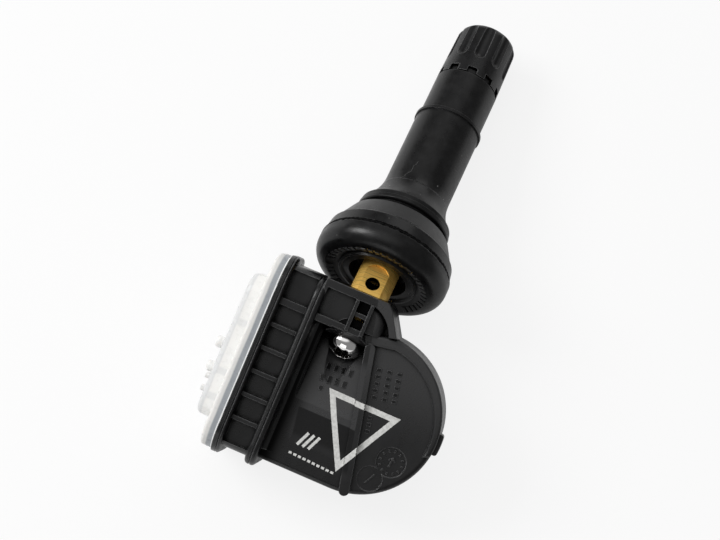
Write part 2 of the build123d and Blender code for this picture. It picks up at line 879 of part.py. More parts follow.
# Rubber valve body moulded round the insert
under_round = valve_radius - under_edge
dish_face = under_face + under_dish
band_radius = valve_radius - parting_step
with BuildPart() as valve_rubber:
    with BuildSketch(section):
        with BuildLine():
            Polyline(
                (post_radius, dish_face + recess_deep),
                (recess_radius - recess_draft, dish_face + recess_deep),
                (recess_radius, dish_face),
                (ridge_radius - ridge_wide / 2, dish_face),
                (ridge_radius - ridge_wide / 4, dish_face - ridge_high),
                (ridge_radius + ridge_wide / 4, dish_face - ridge_high),
                (ridge_radius + ridge_wide / 2, dish_face),
                (under_round, under_face),
            )
            RadiusArc((under_round, under_face), (valve_radius, under_face + under_edge), -under_edge)
            Polyline(
                (valve_radius, under_face + under_edge),
                (valve_radius, -valve_band),
                (band_radius, -valve_band),
                (band_radius - band_taper, -seat_edge),
                (band_radius - band_taper - seat_edge, 0),
                (cone_radius, cone_end),
                (rim_groove_radius, cone_end),
                (rim_groove_radius, bulb_low),
                (bulb_radius - bulb_ridge, bulb_low),
                (bulb_radius, bulb_low + bulb_ridge),
                (bulb_radius, bulb_low + bulb_band / 2),
                (bulb_radius - bulb_ridge, bulb_low + bulb_band / 2),
                (bulb_radius - bulb_ridge, bulb_low + bulb_band),
                (bulb_radius - 2 * bulb_ridge, bulb_low + bulb_band),
            )
            TangentArc(
                (sleeve_radius, bulb_end),
                (bulb_radius - 2 * bulb_ridge, bulb_low + bulb_band),
                tangent=(0, -1),
                tangent_from_first=True,
            )
            Polyline(
                (sleeve_radius, bulb_end),
                (sleeve_radius, sleeve_end),
                (ring_radius, sleeve_end),
                (ring_radius, sleeve_end + ring_wide),
                (tip_radius, sleeve_end + ring_wide),
                (tip_radius, shoulder_at),
                (spigot_radius, shoulder_at),
                (spigot_radius, spigot_end),
                (insert_radius_top, spigot_end),
                (insert_radius_top, bulb_low + collar_length),
                (collar_radius, bulb_low + collar_length),
                (collar_radius, bulb_low),
                (insert_radius_top, bulb_low),
                (insert_radius_top, insert_step),
                (post_radius, insert_step),
                (post_radius, dish_face + recess_deep),
            )
        make_face()
    revolve(axis=stem_axis)
valve_rubber.part.label = "valve_rubber"
export_step(valve_rubber.part, "parts/valve_rubber.step")

# Valve core: barrel, gasket, sprung pin and the seal that the pin carries
with BuildPart() as core_barrel:
    turned(
        (core_mouth, core_tube_low),
        (core_tube_radius, core_tube_low),
        (core_tube_radius, core_waist_low),
        (core_waist, core_waist_low),
        (core_waist, core_head_low),
        (core_thread_radius - fit, core_head_low),
        (core_thread_radius - fit, core_top),
        (core_hole, core_top),
        (core_hole, spring_bore_top),
        (spring_bore, spring_bore_top),
        (spring_bore, spring_low),
        (core_mouth, spring_low),
    )
    with BuildSketch(stem.offset(core_top)):
        Circle(core_thread_radius)
        Rectangle(bridge_wide, 2 * core_thread_radius, mode=Mode.SUBTRACT)
    extrude(amount=-bridge_deep, mode=Mode.SUBTRACT)
core_barrel.part.label = "core_barrel"
export_step(core_barrel.part, "parts/core_barrel.step")

gasket_low_radius = core_bore_radius + fit
gasket_top_radius = core_thread_radius - fit
with BuildPart() as core_gasket:
    turned(
        (core_waist, core_seat_low + gasket_rise),
        (gasket_low_radius, core_seat_low + gasket_rise),
        (gasket_top_radius, core_seat_top),
        (gasket_top_radius, core_head_low),
        (core_waist, core_head_low),
    )
core_gasket.part.label = "core_gasket"
export_step(core_gasket.part, "parts/core_gasket.step")

plunger_top = core_tube_low - plunger_seal_high
with BuildPart() as core_pin:
    turned(
        (0, plunger_top - plunger_high),
        (plunger_radius, plunger_top - plunger_high),
        (plunger_radius, plunger_top),
        (pin_radius, plunger_top),
        (pin_radius, collar_at),
        (pin_collar, collar_at),
        (pin_collar, collar_at + collar_high),
        (pin_radius, collar_at + collar_high),
        (pin_radius, pin_top - pin_head_high),
        (pin_head, pin_top - pin_head_high),
        (pin_head, pin_top),
        (0, pin_top),
    )
core_pin.part.label = "core_pin"
export_step(core_pin.part, "parts/core_pin.step")

with BuildPart() as plunger_seal:
    turned(
        (pin_radius, plunger_top),
        (plunger_radius, plunger_top),
        (plunger_radius, core_tube_low),
        (pin_radius, core_tube_low),
    )
plunger_seal.part.label = "plunger_seal"
export_step(plunger_seal.part, "parts/plunger_seal.step")

spring_length = collar_at - spring_low - 2 * spring_wire
with BuildPart() as core_spring:
    with BuildLine() as coil:
        Helix(
            spring_length / spring_turns,
            spring_length,
            spring_radius,
            center=stem.offset(spring_low + spring_wire).origin,
            direction=stem_dir,
        )
    with BuildSketch(Plane(origin=coil.line @ 0, z_dir=coil.line % 0)):
        Circle(spring_wire)
    sweep()
core_spring.part.label = "core_spring"
export_step(core_spring.part, "parts/core_spring.step")

# Cap with its castellated skirt and flutes, and the seal in its crown
skirt_bore = spigot_radius + running_gap
notch_wide = 2 * cap_radius * sin(radians(tooth_share * 360 / tooth_count / 2))
with BuildPart(stem.offset(flute_from)) as flutes:
    with PolarLocations(cap_top_radius + flute_radius - flute_sink, flute_count, cap_phase):
        Cylinder(flute_radius, cap_top - flute_from, align=(Align.CENTER, Align.CENTER, Align.MIN))
        Sphere(flute_radius)
with BuildPart() as valve_cap:
    with BuildSketch(section):
        with BuildLine():
            Polyline(
                (0, cap_inner_top),
                (cap_bore, cap_inner_top),
                (cap_bore, cap_foot + skirt_depth),
                (skirt_bore, cap_foot + skirt_depth),
                (skirt_bore, cap_foot),
                (cap_radius, cap_foot),
                (cap_top_radius, cap_top - cap_edge),
            )
            RadiusArc(
                (cap_top_radius, cap_top - cap_edge), (cap_top_radius - cap_edge, cap_top), -cap_edge
            )
            Polyline((cap_top_radius - cap_edge, cap_top), (0, cap_top), (0, cap_inner_top))
        make_face()
    revolve(axis=stem_axis)
    with BuildSketch(stem.offset(cap_foot)):
        with PolarLocations(cap_radius, tooth_count, cap_phase):
            Rectangle(2 * (cap_radius - cap_bore), notch_wide)
    extrude(amount=tooth_high, mode=Mode.SUBTRACT)
    add(flutes.part, mode=Mode.SUBTRACT)
valve_cap.part.label = "valve_cap"
export_step(valve_cap.part, "parts/valve_cap.step")

with BuildPart() as cap_seal:
    turned(
        (0, insert_end),
        (cap_seal_radius, insert_end),
        (cap_seal_radius, cap_inner_top),
        (0, cap_inner_top),
    )
cap_seal.part.label = "cap_seal"
export_step(cap_seal.part, "parts/cap_seal.step")

# Screw through the boss into the brass post
with BuildPart() as retaining_screw:
    with BuildSketch(stem.offset(screw_seat)):
        Circle(head_radius)
    extrude(amount=-head_high)
    fillet(retaining_screw.faces().sort_by(stem_axis)[0].edges(), head_edge)
    with BuildSketch(stem.offset(screw_seat)):
        Circle(screw_radius)
    extrude(amount=screw_length)
    with BuildSketch(stem.offset(screw_seat - head_high)):
        Circle(star_core)
        with PolarLocations(star_core, star_lobes):
            Circle(star_lobe)
    extrude(amount=star_deep, mode=Mode.SUBTRACT)
retaining_screw.part.label = "retaining_screw"
export_step(retaining_screw.part, "parts/retaining_screw.step")
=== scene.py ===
"""Looks of the tyre pressure sensor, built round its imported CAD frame.

The classes hold lengths in millimetres, and a Space turns them into metres where a mesh or a lamp is made.
"""

import json
import logging
import math
from dataclasses import dataclass
from enum import Enum
from functools import partial, reduce
from typing import Any, Callable, Sequence

import bmesh
import bpy
from mathutils import Matrix, Vector
from mathutils.bvhtree import BVHTree

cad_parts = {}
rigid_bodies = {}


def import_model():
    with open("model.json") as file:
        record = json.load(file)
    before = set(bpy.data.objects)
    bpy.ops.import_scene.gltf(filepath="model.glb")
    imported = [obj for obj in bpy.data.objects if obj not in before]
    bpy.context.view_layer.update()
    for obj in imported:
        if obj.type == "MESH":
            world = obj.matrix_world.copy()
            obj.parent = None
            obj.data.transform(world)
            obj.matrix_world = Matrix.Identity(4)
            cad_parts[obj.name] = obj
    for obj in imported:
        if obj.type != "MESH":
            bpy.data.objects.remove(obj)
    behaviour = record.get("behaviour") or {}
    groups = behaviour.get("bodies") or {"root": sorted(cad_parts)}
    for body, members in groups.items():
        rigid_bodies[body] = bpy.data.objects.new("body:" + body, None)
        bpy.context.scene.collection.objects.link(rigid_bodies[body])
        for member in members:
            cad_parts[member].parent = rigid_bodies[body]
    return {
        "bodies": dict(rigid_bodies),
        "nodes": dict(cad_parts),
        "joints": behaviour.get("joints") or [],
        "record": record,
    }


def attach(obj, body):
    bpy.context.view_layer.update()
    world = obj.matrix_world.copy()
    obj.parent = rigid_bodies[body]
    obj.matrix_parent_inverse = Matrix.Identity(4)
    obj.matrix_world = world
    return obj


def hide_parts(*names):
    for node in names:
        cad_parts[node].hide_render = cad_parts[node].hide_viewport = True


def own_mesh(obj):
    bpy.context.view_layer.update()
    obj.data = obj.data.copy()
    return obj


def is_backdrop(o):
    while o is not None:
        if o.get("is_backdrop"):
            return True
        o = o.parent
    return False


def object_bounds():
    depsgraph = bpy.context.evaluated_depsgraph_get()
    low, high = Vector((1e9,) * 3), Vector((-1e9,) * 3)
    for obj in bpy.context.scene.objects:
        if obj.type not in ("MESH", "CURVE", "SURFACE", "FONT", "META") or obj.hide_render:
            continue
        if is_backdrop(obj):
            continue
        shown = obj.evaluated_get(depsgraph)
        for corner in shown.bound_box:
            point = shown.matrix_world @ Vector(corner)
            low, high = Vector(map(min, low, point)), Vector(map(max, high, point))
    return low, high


Socket = bpy.types.NodeSocket
Material = bpy.types.Material
Piece = bpy.types.Object
Pair = tuple[float, float]
Triple = tuple[float, float, float]
Quad = tuple[Pair, Pair, Pair, Pair]
MM = 0.001
BLACK = (0.0, 0.0, 0.0)
WHITE = (1.0, 1.0, 1.0)
RISING = (0.0, 1.0)
FALLING = (1.0, 0.0)
NOISE_SPREAD = (0.3, 0.7)
EDGE_TURN = (0.01, 0.16)
EDGE_SAMPLES = 4
CORNER_OPEN = (0.2, 0.8)
CORNER_SAMPLES = 6
log = logging.getLogger("sensor")


class Body(Enum):
    """Moving bodies of the frame that a piece can ride on."""

    SENSOR = "sensor"


class Slot(Enum):
    """Material slots of the record."""

    HOUSING = "housing_plastic"
    COVER = "cover_plastic"
    RUBBER = "valve_rubber"
    BRASS = "turned_brass"
    SCREW = "screw_steel"
    SPRING = "spring_steel"


class Joint(Enum):
    """Joints of the record."""

    PIN_PRESS = "pin_press"


# Places on the sensor


@dataclass(frozen=True)
class Space:
    """Directions turned about X, with places in millimetres from an origin of their own."""

    origin: Vector
    turn: float

    @property
    def matrix(self) -> Matrix:
        """Turn from this space to the frame."""
        return Matrix.Rotation(self.turn, 3, "X")

    def point(self, x: float, y: float, z: float) -> Vector:
        """Place in the frame, in metres, of a place in this space."""
        return self.origin + self.matrix @ Vector((x, y, z)) * MM

    def around(self, radius: float, angle: float, y: float) -> Vector:
        """Place in the frame, in metres, of a place at a radius and an angle round the y axis."""
        return self.point(radius * math.cos(angle), y, radius * math.sin(angle))

    def direction(self, x: float, y: float, z: float) -> Vector:
        """Direction in the frame of a direction in this space."""
        return self.matrix @ Vector((x, y, z))


@dataclass
class SensorFrame:
    """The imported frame, with the deck and the stem that its pieces are laid out along.

    The deck is the marked face: x runs away from the cover, y towards the valve and z up from the face.
    Along the stem, y is the distance from the rim seat towards the cap and z is up.
    """

    frame: dict[str, Any]
    stem_drop: float = 30.0
    body_side: float = 5.75
    body_back: float = 22.6
    face_height: float = 10.2

    @property
    def slope(self) -> float:
        """Angle of the stem below level, from the axis that the cap lifts along."""
        axis = next(joint["axis"] for joint in self.frame["joints"] if joint["name"] == "cap_lift")
        return math.atan2(-axis[2], axis[1])

    @property
    def lean(self) -> float:
        """Angle of the deck above level."""
        return math.radians(self.stem_drop) - self.slope

    @property
    def stem(self) -> Space:
        """Space along the valve stem."""
        return Space(Vector(), -self.slope)

    @property
    def deck(self) -> Space:
        """Space on the marked face."""
        level = Space(Vector(), self.lean)
        return Space(level.point(self.body_side, -self.body_back, self.face_height), self.lean)

    def node(self, name: str) -> Piece:
        """CAD object of a node."""
        return self.frame["nodes"][name]

    def skin(self, name: str) -> BVHTree:
        """Searchable skin of a CAD node.

        Args:
            name: Name of the node.

        Returns:
            Tree of its faces.
        """
        mesh = self.node(name).data
        faces = [tuple(face.vertices) for face in mesh.polygons]
        return BVHTree.FromPolygons([vertex.co for vertex in mesh.vertices], faces)


# Finishes


@dataclass(frozen=True)
class Cloud:
    """Cloudy noise, by its scale along x, y and z and its detail."""

    scale: Triple
    detail: float = 2.0


def even(scale: float, detail: float = 2.0) -> Cloud:
    """Cloudy noise with one scale along every axis."""
    return Cloud((scale, scale, scale), detail)


def shaded(colour: Triple, share: float) -> Triple:
    """A colour with a share of its brightness."""
    return tuple(part * share for part in colour)


class Nodes:
    """Node tree with short ways to add nodes and to join them."""

    def __init__(self, tree: bpy.types.NodeTree) -> None:
        """Empties a tree to start with."""
        self.tree = tree
        tree.nodes.clear()

    def put(self, socket: Socket, value: Any) -> None:
        """Joins a socket to another one, or sets its value.

        Args:
            socket: Input socket.
            value: Output socket or value.
        """
        if isinstance(value, Socket):
            self.tree.links.new(value, socket)
        elif socket.type == "RGBA" and len(value) == 3:
            socket.default_value = (*value, 1.0)
        else:
            socket.default_value = value

    def node(self, kind: str, inputs: dict[Any, Any], **settings: Any) -> bpy.types.Node:
        """Adds a node.

        Args:
            kind: Type of the node, without the common first word.
            inputs: Values or sockets by input name or number.
            settings: Properties of the node.

        Returns:
            The new node.
        """
        made = self.tree.nodes.new("ShaderNode" + kind)
        for name, value in settings.items():
            setattr(made, name, value)
        for key, value in inputs.items():
            self.put(made.inputs[key], value)
        return made

    def maths(self, operation: str, first: Any, second: Any = 0.0, third: Any = 0.0) -> Socket:
        """Result of one sum on up to three values."""
        return self.node("Math", {0: first, 1: second, 2: third}, operation=operation).outputs[0]

    def plus(self, first: Any, second: Any) -> Socket:
        """Two values together."""
        return self.maths("ADD", first, second)

    def times(self, *values: Any) -> Socket:
        """Values multiplied by each other."""
        return reduce(partial(self.maths, "MULTIPLY"), values)

    def scaled(self, value: Any, factor: float, more: Any) -> Socket:
        """A value times a factor, with more added to it."""
        return self.maths("MULTIPLY_ADD", value, factor, more)

    def rest(self, share: Any) -> Socket:
        """What a share leaves of 1."""
        return self.maths("SUBTRACT", 1.0, share)

    def apart(self, value: Any, place: float) -> Socket:
        """Distance of a value from a place, to either side."""
        return self.maths("ABSOLUTE", self.maths("SUBTRACT", value, place))

    def fold(self, value: Any, reach: float) -> Socket:
        """A value that runs to and fro between 0 and a reach."""
        return self.maths("PINGPONG", value, reach)

    def most(self, first: Any, second: Any) -> Socket:
        """The larger of two values."""
        return self.maths("MAXIMUM", first, second)

    def over(self, value: Any, limit: Any) -> Socket:
        """Whether a value is over a limit, as 1 or 0."""
        return self.maths("GREATER_THAN", value, limit)

    def under(self, value: Any, limit: Any) -> Socket:
        """Whether a value is under a limit, as 1 or 0."""
        return self.maths("LESS_THAN", value, limit)

    def dot(self, first: Any, second: Any) -> Socket:
        """How far two directions agree."""
        return self.node("VectorMath", {0: first, 1: second}, operation="DOT_PRODUCT").outputs["Value"]

    def between(self, value: Socket, limits: Pair, result: Pair = RISING) -> Socket:
        """A value mapped smoothly from between two limits to a result, and held outside them."""
        inputs = {"Value": value, "From Min": limits[0], "From Max": limits[1], "To Min": result[0],
                  "To Max": result[1]}
        return self.node("MapRange", inputs, interpolation_type="SMOOTHSTEP").outputs["Result"]

    def vary(self, noise: Socket, middle: float, uneven: Pair, spread: Pair = NOISE_SPREAD) -> Socket:
        """A value that follows the spread of a noise, as far under and over a middle as it is uneven."""
        return self.between(noise, spread, (middle - uneven[0], middle + uneven[1]))

    def mix(self, factor: Socket, first: Any, second: Any) -> Socket:
        """Value between two values."""
        return self.node("Mix", {0: factor, 2: first, 3: second}, data_type="FLOAT").outputs[0]

    def blend(self, factor: Socket, first: Any, second: Any) -> Socket:
        """Colour between two colours."""
        return self.node("Mix", {0: factor, 6: first, 7: second}, data_type="RGBA").outputs[2]


class Sheet(Nodes):
    """Node sheet of one material, laid out along a space."""

    def __init__(self, name: str, space: Space) -> None:
        """Starts a material whose shader already reaches its output.

        Args:
            name: Name of the material.
            space: Space that it is laid out along.
        """
        self.material = bpy.data.materials.new(name)
        self.material.use_nodes = True
        super().__init__(self.material.node_tree)
        self.shader = self.node("BsdfPrincipled", {})
        self.output = self.node("OutputMaterial", {"Surface": self.shader.outputs["BSDF"]})
        source = self.node("TexCoord", {}).outputs["Object"]
        turn, scale = (space.turn, 0, 0), (MM, MM, MM)
        inputs = {"Vector": source, "Location": space.origin, "Rotation": turn, "Scale": scale}
        self.places = self.node("Mapping", inputs, vector_type="TEXTURE").outputs["Vector"]

    def shade(self, **values: Any) -> None:
        """Sets inputs of the shader, named with underscores for spaces."""
        for name, value in values.items():
            self.put(self.shader.inputs[name.replace("_", " ")], value)

    def current(self, name: str) -> Socket:
        """What is joined to an input of the shader."""
        return self.shader.inputs[name].links[0].from_socket

    def axes(self) -> tuple[Socket, ...]:
        """The x, y and z of a place."""
        return tuple(self.node("SeparateXYZ", {0: self.places}).outputs)

    def noise(self, cloud: Cloud) -> Socket:
        """Cloudy noise from 0 to 1 about 0.5."""
        vector = self.node("VectorMath", {0: self.places, 1: cloud.scale}, operation="MULTIPLY").outputs[0]
        return self.node("TexNoise", {"Vector": vector, "Scale": 1.0, "Detail": cloud.detail}).outputs[0]

    def cells(self, scale: float) -> Socket:
        """Distance to the nearest of scattered points."""
        return self.node("TexVoronoi", {"Vector": self.places, "Scale": scale}).outputs["Distance"]

    def inside(self, low: Triple, high: Triple) -> Socket:
        """Whether a place is in a box, as 1 or 0.

        Args:
            low: Lowest corner of the box.
            high: Highest corner of the box.

        Returns:
            Socket of the answer.
        """
        answer: Any = 1.0
        for axis, least, most in zip(self.axes(), low, high):
            answer = self.times(self.over(axis, least), self.under(axis, most), answer)
        return answer

    def soften(self, radius: float) -> Socket:
        """Normal with the sharp edges rounded to a radius in millimetres."""
        return self.node("Bevel", {"Radius": radius * MM}, samples=EDGE_SAMPLES).outputs["Normal"]

    def opened(self, reach: float, limits: Pair = CORNER_OPEN) -> Socket:
        """Whether a place is open, from 0 deep in a corner to 1, looking a reach in millimetres away."""
        light = self.node("AmbientOcclusion", {"Distance": reach * MM}, samples=CORNER_SAMPLES)
        return self.between(light.outputs["AO"], limits)

    def corner(self, edge: float, reach: float) -> tuple[Socket, Socket, Socket]:
        """Looks at the edges and corners of a piece.

        Args:
            edge: Radius that the sharp edges are rounded to.
            reach: How far the corners are looked for.

        Returns:
            Rounded normal, whether a place is open, and the share of an edge where it is, which the
            finishes use to paint shade into corners and highlights onto edges.
        """
        rounded, opened = self.soften(edge), self.opened(reach)
        flat = self.node("NewGeometry", {}).outputs["Normal"]
        turned = (1.0 - EDGE_TURN[0], 1.0 - EDGE_TURN[1])
        return rounded, opened, self.times(self.between(self.dot(flat, rounded), turned), opened)

    def emboss(self, height: Socket, depth: float, normal: Socket, strength: float = 1.0) -> Socket:
        """Normal of a relief from 0 to a depth in millimetres, on another normal."""
        inputs = {"Height": height, "Distance": depth * MM, "Normal": normal, "Strength": strength}
        return self.node("Bump", inputs).outputs["Normal"]


@dataclass(frozen=True)
class Finish:
    """Finish that a material is made from."""

    name: str

    def lay(self, sheet: Sheet) -> None:
        """Lays the finish out on a sheet, which each finish does in its own way."""
        raise NotImplementedError(self.name)

    def material(self, space: Space) -> Material:
        """The finished material, laid out along a space.

        Args:
            space: Space to lay it out along.

        Returns:
            The new material.
        """
        sheet = Sheet(self.name, space)
        self.lay(sheet)
        return sheet.material


@dataclass(frozen=True)
class MouldedPlastic(Finish):
    """Black moulded plastic with a fine grain and faint flow marks, painted shade in its corners and
    painted highlights on its edges.
    """

    colour: Triple
    roughness: float
    shine: float = 0.4
    uneven: Pair = (0.08, 0.1)
    grain: Cloud = even(6.0, 3.0)
    grain_depth: float = 0.016
    grain_share: float = 0.35
    mottle: Cloud = even(0.9, 6.0)
    mottle_share: float = 0.5
    flow: Cloud = Cloud((0.35, 0.12, 0.35), 5.0)
    dark_share: float = 0.7
    pale_share: float = 1.5
    worn_pale: Pair = (0.65, 1.2)
    worn_dull: Pair = (0.6, 1.3)
    edge: float = 0.2
    # Painted highlight: pale colour on the sharp edges.
    edge_highlight: Triple = (0.15, 0.15, 0.152)
    corner_reach: float = 1.0
    # Painted shade: near-black colour and reflection in the corners.
    corner_shade: Triple = (0.0005, 0.0005, 0.0005)

    def lay(self, sheet: Sheet) -> None:
        """Lays the finish out.

        Args:
            sheet: Sheet to lay it out on.
        """
        grain = sheet.noise(self.grain)
        worn = sheet.scaled(grain, self.grain_share, sheet.noise(self.flow))
        worn = sheet.scaled(sheet.noise(self.mottle), self.mottle_share, worn)
        dark, pale = shaded(self.colour, self.dark_share), shaded(self.colour, self.pale_share)
        plain = sheet.blend(sheet.between(worn, self.worn_pale), dark, pale)
        # Painted highlight on the edges and painted shade in the corners, in the colour and in the
        # reflection.
        rounded, opened, highlit_edge = sheet.corner(self.edge, self.corner_reach)
        edged = sheet.blend(highlit_edge, plain, self.edge_highlight)
        sheet.shade(
            Base_Color=sheet.blend(opened, self.corner_shade, edged),
            Roughness=sheet.vary(worn, self.roughness, self.uneven, self.worn_dull),
            Specular_IOR_Level=self.shine,
            Specular_Tint=sheet.blend(opened, self.corner_shade, WHITE),
            Normal=sheet.emboss(grain, self.grain_depth, rounded),
        )


@dataclass(frozen=True)
class HousingPlastic(MouldedPlastic):
    """Glass-filled housing plastic, with painted light in the valley and towards the valve on the right of
    the face, and painted shade in the cove by the bead, in a nook by the boss and on the duller flat field
    at the lower left.
    """

    valley_left: Pair = (-9.0, -6.4)
    valley_top: Pair = (7.2, 5.2)
    valley_fall: float = 0.3255
    valley_lip: float = -0.52
    valley_band: Pair = (-2.0, -1.4)
    valley_light: Triple = (0.034, 0.034, 0.035)
    # Painted shadow: near-black colour and reflection in the cove beside the bead and in a nook by the
    # boss.
    cove_left: Pair = (-10.2, -7.6)
    cove_top: Pair = (9.0, 7.0)
    cove_shade: Triple = (0.0012, 0.0012, 0.0012)
    cove_shade_tint: Triple = (0.12, 0.12, 0.12)
    nook_low: Triple = (-8.4, 9.8, 0.62)
    nook_high: Triple = (-5.3, 12.0, 1.4)
    bead_side: float = -10.95
    deck_over: float = 0.25
    field_left: float = -8.3
    field_lean: float = -0.156
    field_top: float = -2.5
    field_blur: float = 0.16
    field_colour: Triple = (0.005, 0.005, 0.0053)
    field_roughness: float = 0.5
    field_shade_share: float = 0.45
    spine_top: Pair = (-2.3, 9.4)
    spine_foot: Pair = (2.3, -11.6)
    bright_y: Pair = (-3.0, 8.0)
    bright_z: Pair = (-0.4, -0.2)
    face_light: Triple = (0.03, 0.03, 0.0306)

    def lay(self, sheet: Sheet) -> None:
        """Lays the finish out along the deck.

        Args:
            sheet: Sheet to lay it out on.
        """
        super().lay(sheet)
        x, y, z = sheet.axes()
        run = (self.spine_foot[0] - self.spine_top[0]) / (self.spine_foot[1] - self.spine_top[1])
        spine = sheet.scaled(y, run, self.spine_top[0] - run * self.spine_top[1])
        marked = sheet.under(x, spine)
        sunk = sheet.plus(z, sheet.scaled(y, self.valley_fall, -self.valley_lip))
        beside = sheet.times(marked, sheet.between(sunk, self.valley_band))
        # Painted shade: the flat field at the lower left gets a darker reflection and an even dark colour,
        # and is rougher.
        start, blur = self.field_left - self.field_lean * self.field_top, self.field_blur
        left = sheet.between(sheet.scaled(y, -self.field_lean, x), (start - blur, start + blur))
        below = sheet.between(y, (self.field_top - blur, self.field_top), FALLING)
        field = sheet.times(left, below, beside)
        # Painted light: the valley beside the spine is lighter.
        valley = sheet.times(sheet.between(x, self.valley_left), sheet.between(y, self.valley_top), beside)
        # Painted light: the open face right of the spine gets lighter towards the valve.
        right = sheet.times(sheet.over(x, spine), sheet.opened(self.corner_reach))
        bright = sheet.times(right, sheet.between(z, self.bright_z), sheet.between(y, self.bright_y))
        colour = sheet.blend(bright, sheet.current("Base Color"), self.face_light)
        painted_light_base = sheet.blend(field, sheet.blend(valley, colour, self.valley_light), self.field_colour)
        # Painted shadow in the cove beside the bead, away from its lit part, and in the nook by the boss.
        clear = sheet.times(sheet.between(x, self.cove_left), sheet.between(y, self.cove_top))
        within = sheet.times(marked, sheet.over(x, self.bead_side), sheet.under(z, self.deck_over))
        cove = sheet.times(within, sheet.rest(clear))
        cove = sheet.most(cove, sheet.inside(self.nook_low, self.nook_high))
        field_darkening = sheet.times(field, self.field_shade_share)
        tint = sheet.blend(field_darkening, sheet.current("Specular Tint"), self.cove_shade_tint)
        sheet.shade(
            Base_Color=sheet.blend(cove, painted_light_base, self.cove_shade),
            Roughness=sheet.mix(field, sheet.current("Roughness"), self.field_roughness),
            Specular_Tint=sheet.blend(cove, tint, self.cove_shade_tint),
        )


@dataclass(frozen=True)
class MilkyPlastic(Finish):
    """Milky half-clear plastic of the welded cover, through which the black tongue of the weld shows."""

    name: str = "milky_plastic"
    rim: Triple = (0.82, 0.81, 0.785)
    weld: Triple = (0.95, 0.95, 0.94)
    shadow: Triple = (0.34, 0.36, 0.385)
    plateau: Triple = (0.89, 0.885, 0.865)
    border: Triple = (0.72, 0.725, 0.725)
    roughness: float = 0.3
    uneven: Pair = (0.05, 0.05)
    bends_light: float = 1.49
    glow: float = 0.15
    glow_depth: float = 0.8
    glow_colour: Triple = (1.0, 0.95, 0.9)
    cloud: Cloud = Cloud((0.5, 0.3, 0.3), 4.0)
    cloud_share: float = 0.08
    wander: float = 0.08
    grain: Cloud = even(1.5)
    grain_depth: float = 0.0012
    weld_line: Pair = (-17.72, -17.6)
    tongue_end: Pair = (-18.55, -18.25)
    plate_face: Pair = (-19.34, -19.26)
    border_from: Pair = (-21.1, -20.8)
    nub_from: Pair = (-21.95, -21.8)
    ribs: tuple[float, ...] = (5.0, -2.4, -6.2)
    rib_half: Pair = (0.3, 0.7)
    rib_share: Pair = (0.35, 1.0)
    edge: float = 0.2

    def lay(self, sheet: Sheet) -> None:
        """Lays the finish out along the deck.

        Args:
            sheet: Sheet to lay it out on.
        """
        x, y = sheet.axes()[:2]
        cloud, grain = sheet.noise(self.cloud), sheet.noise(self.grain)
        ragged = sheet.plus(x, sheet.scaled(cloud, 2 * self.wander, -self.wander))
        plate = sheet.blend(sheet.between(ragged, self.tongue_end), self.rim, self.shadow)
        plate = sheet.blend(sheet.between(x, self.weld_line), plate, self.weld)
        inner = sheet.between(ragged, self.border_from)
        for place in self.ribs:
            inner = sheet.times(inner, sheet.between(sheet.apart(y, place), self.rib_half, self.rib_share))
        inner = sheet.most(inner, sheet.between(x, self.nub_from, FALLING))
        plateau = sheet.blend(inner, self.border, self.plateau)
        colour = sheet.blend(sheet.between(x, self.plate_face), plateau, plate)
        clouded = sheet.between(cloud, NOISE_SPREAD, (0.0, self.cloud_share))
        sheet.shade(
            Base_Color=sheet.blend(clouded, colour, self.border),
            Roughness=sheet.vary(grain, self.roughness, self.uneven),
            Subsurface_Weight=self.glow,
            Subsurface_Radius=self.glow_colour,
            Subsurface_Scale=self.glow_depth * MM,
            IOR=self.bends_light,
            Normal=sheet.emboss(grain, self.grain_depth, sheet.soften(self.edge)),
        )


@dataclass(frozen=True)
class BurntMark(Finish):
    """Silvery mark burnt into the black plastic."""

    name: str = "burnt_mark"
    colour: Triple = (0.76, 0.76, 0.74)
    faded: Triple = (0.62, 0.62, 0.60)
    faded_at: Pair = (0.35, 0.62)
    roughness: float = 0.6
    uneven: Pair = (0.1, 0.1)
    shine: float = 0.3
    mottle: Cloud = even(2.2, 5.0)
    mottle_depth: float = 0.01
    edge: float = 0.02

    def lay(self, sheet: Sheet) -> None:
        """Lays the finish out.

        Args:
            sheet: Sheet to lay it out on.
        """
        mottle = sheet.noise(self.mottle)
        sheet.shade(
            Base_Color=sheet.blend(sheet.between(mottle, self.faded_at), self.faded, self.colour),
            Roughness=sheet.vary(mottle, self.roughness, self.uneven),
            Specular_IOR_Level=self.shine,
            Normal=sheet.emboss(mottle, self.mottle_depth, sheet.soften(self.edge)),
        )


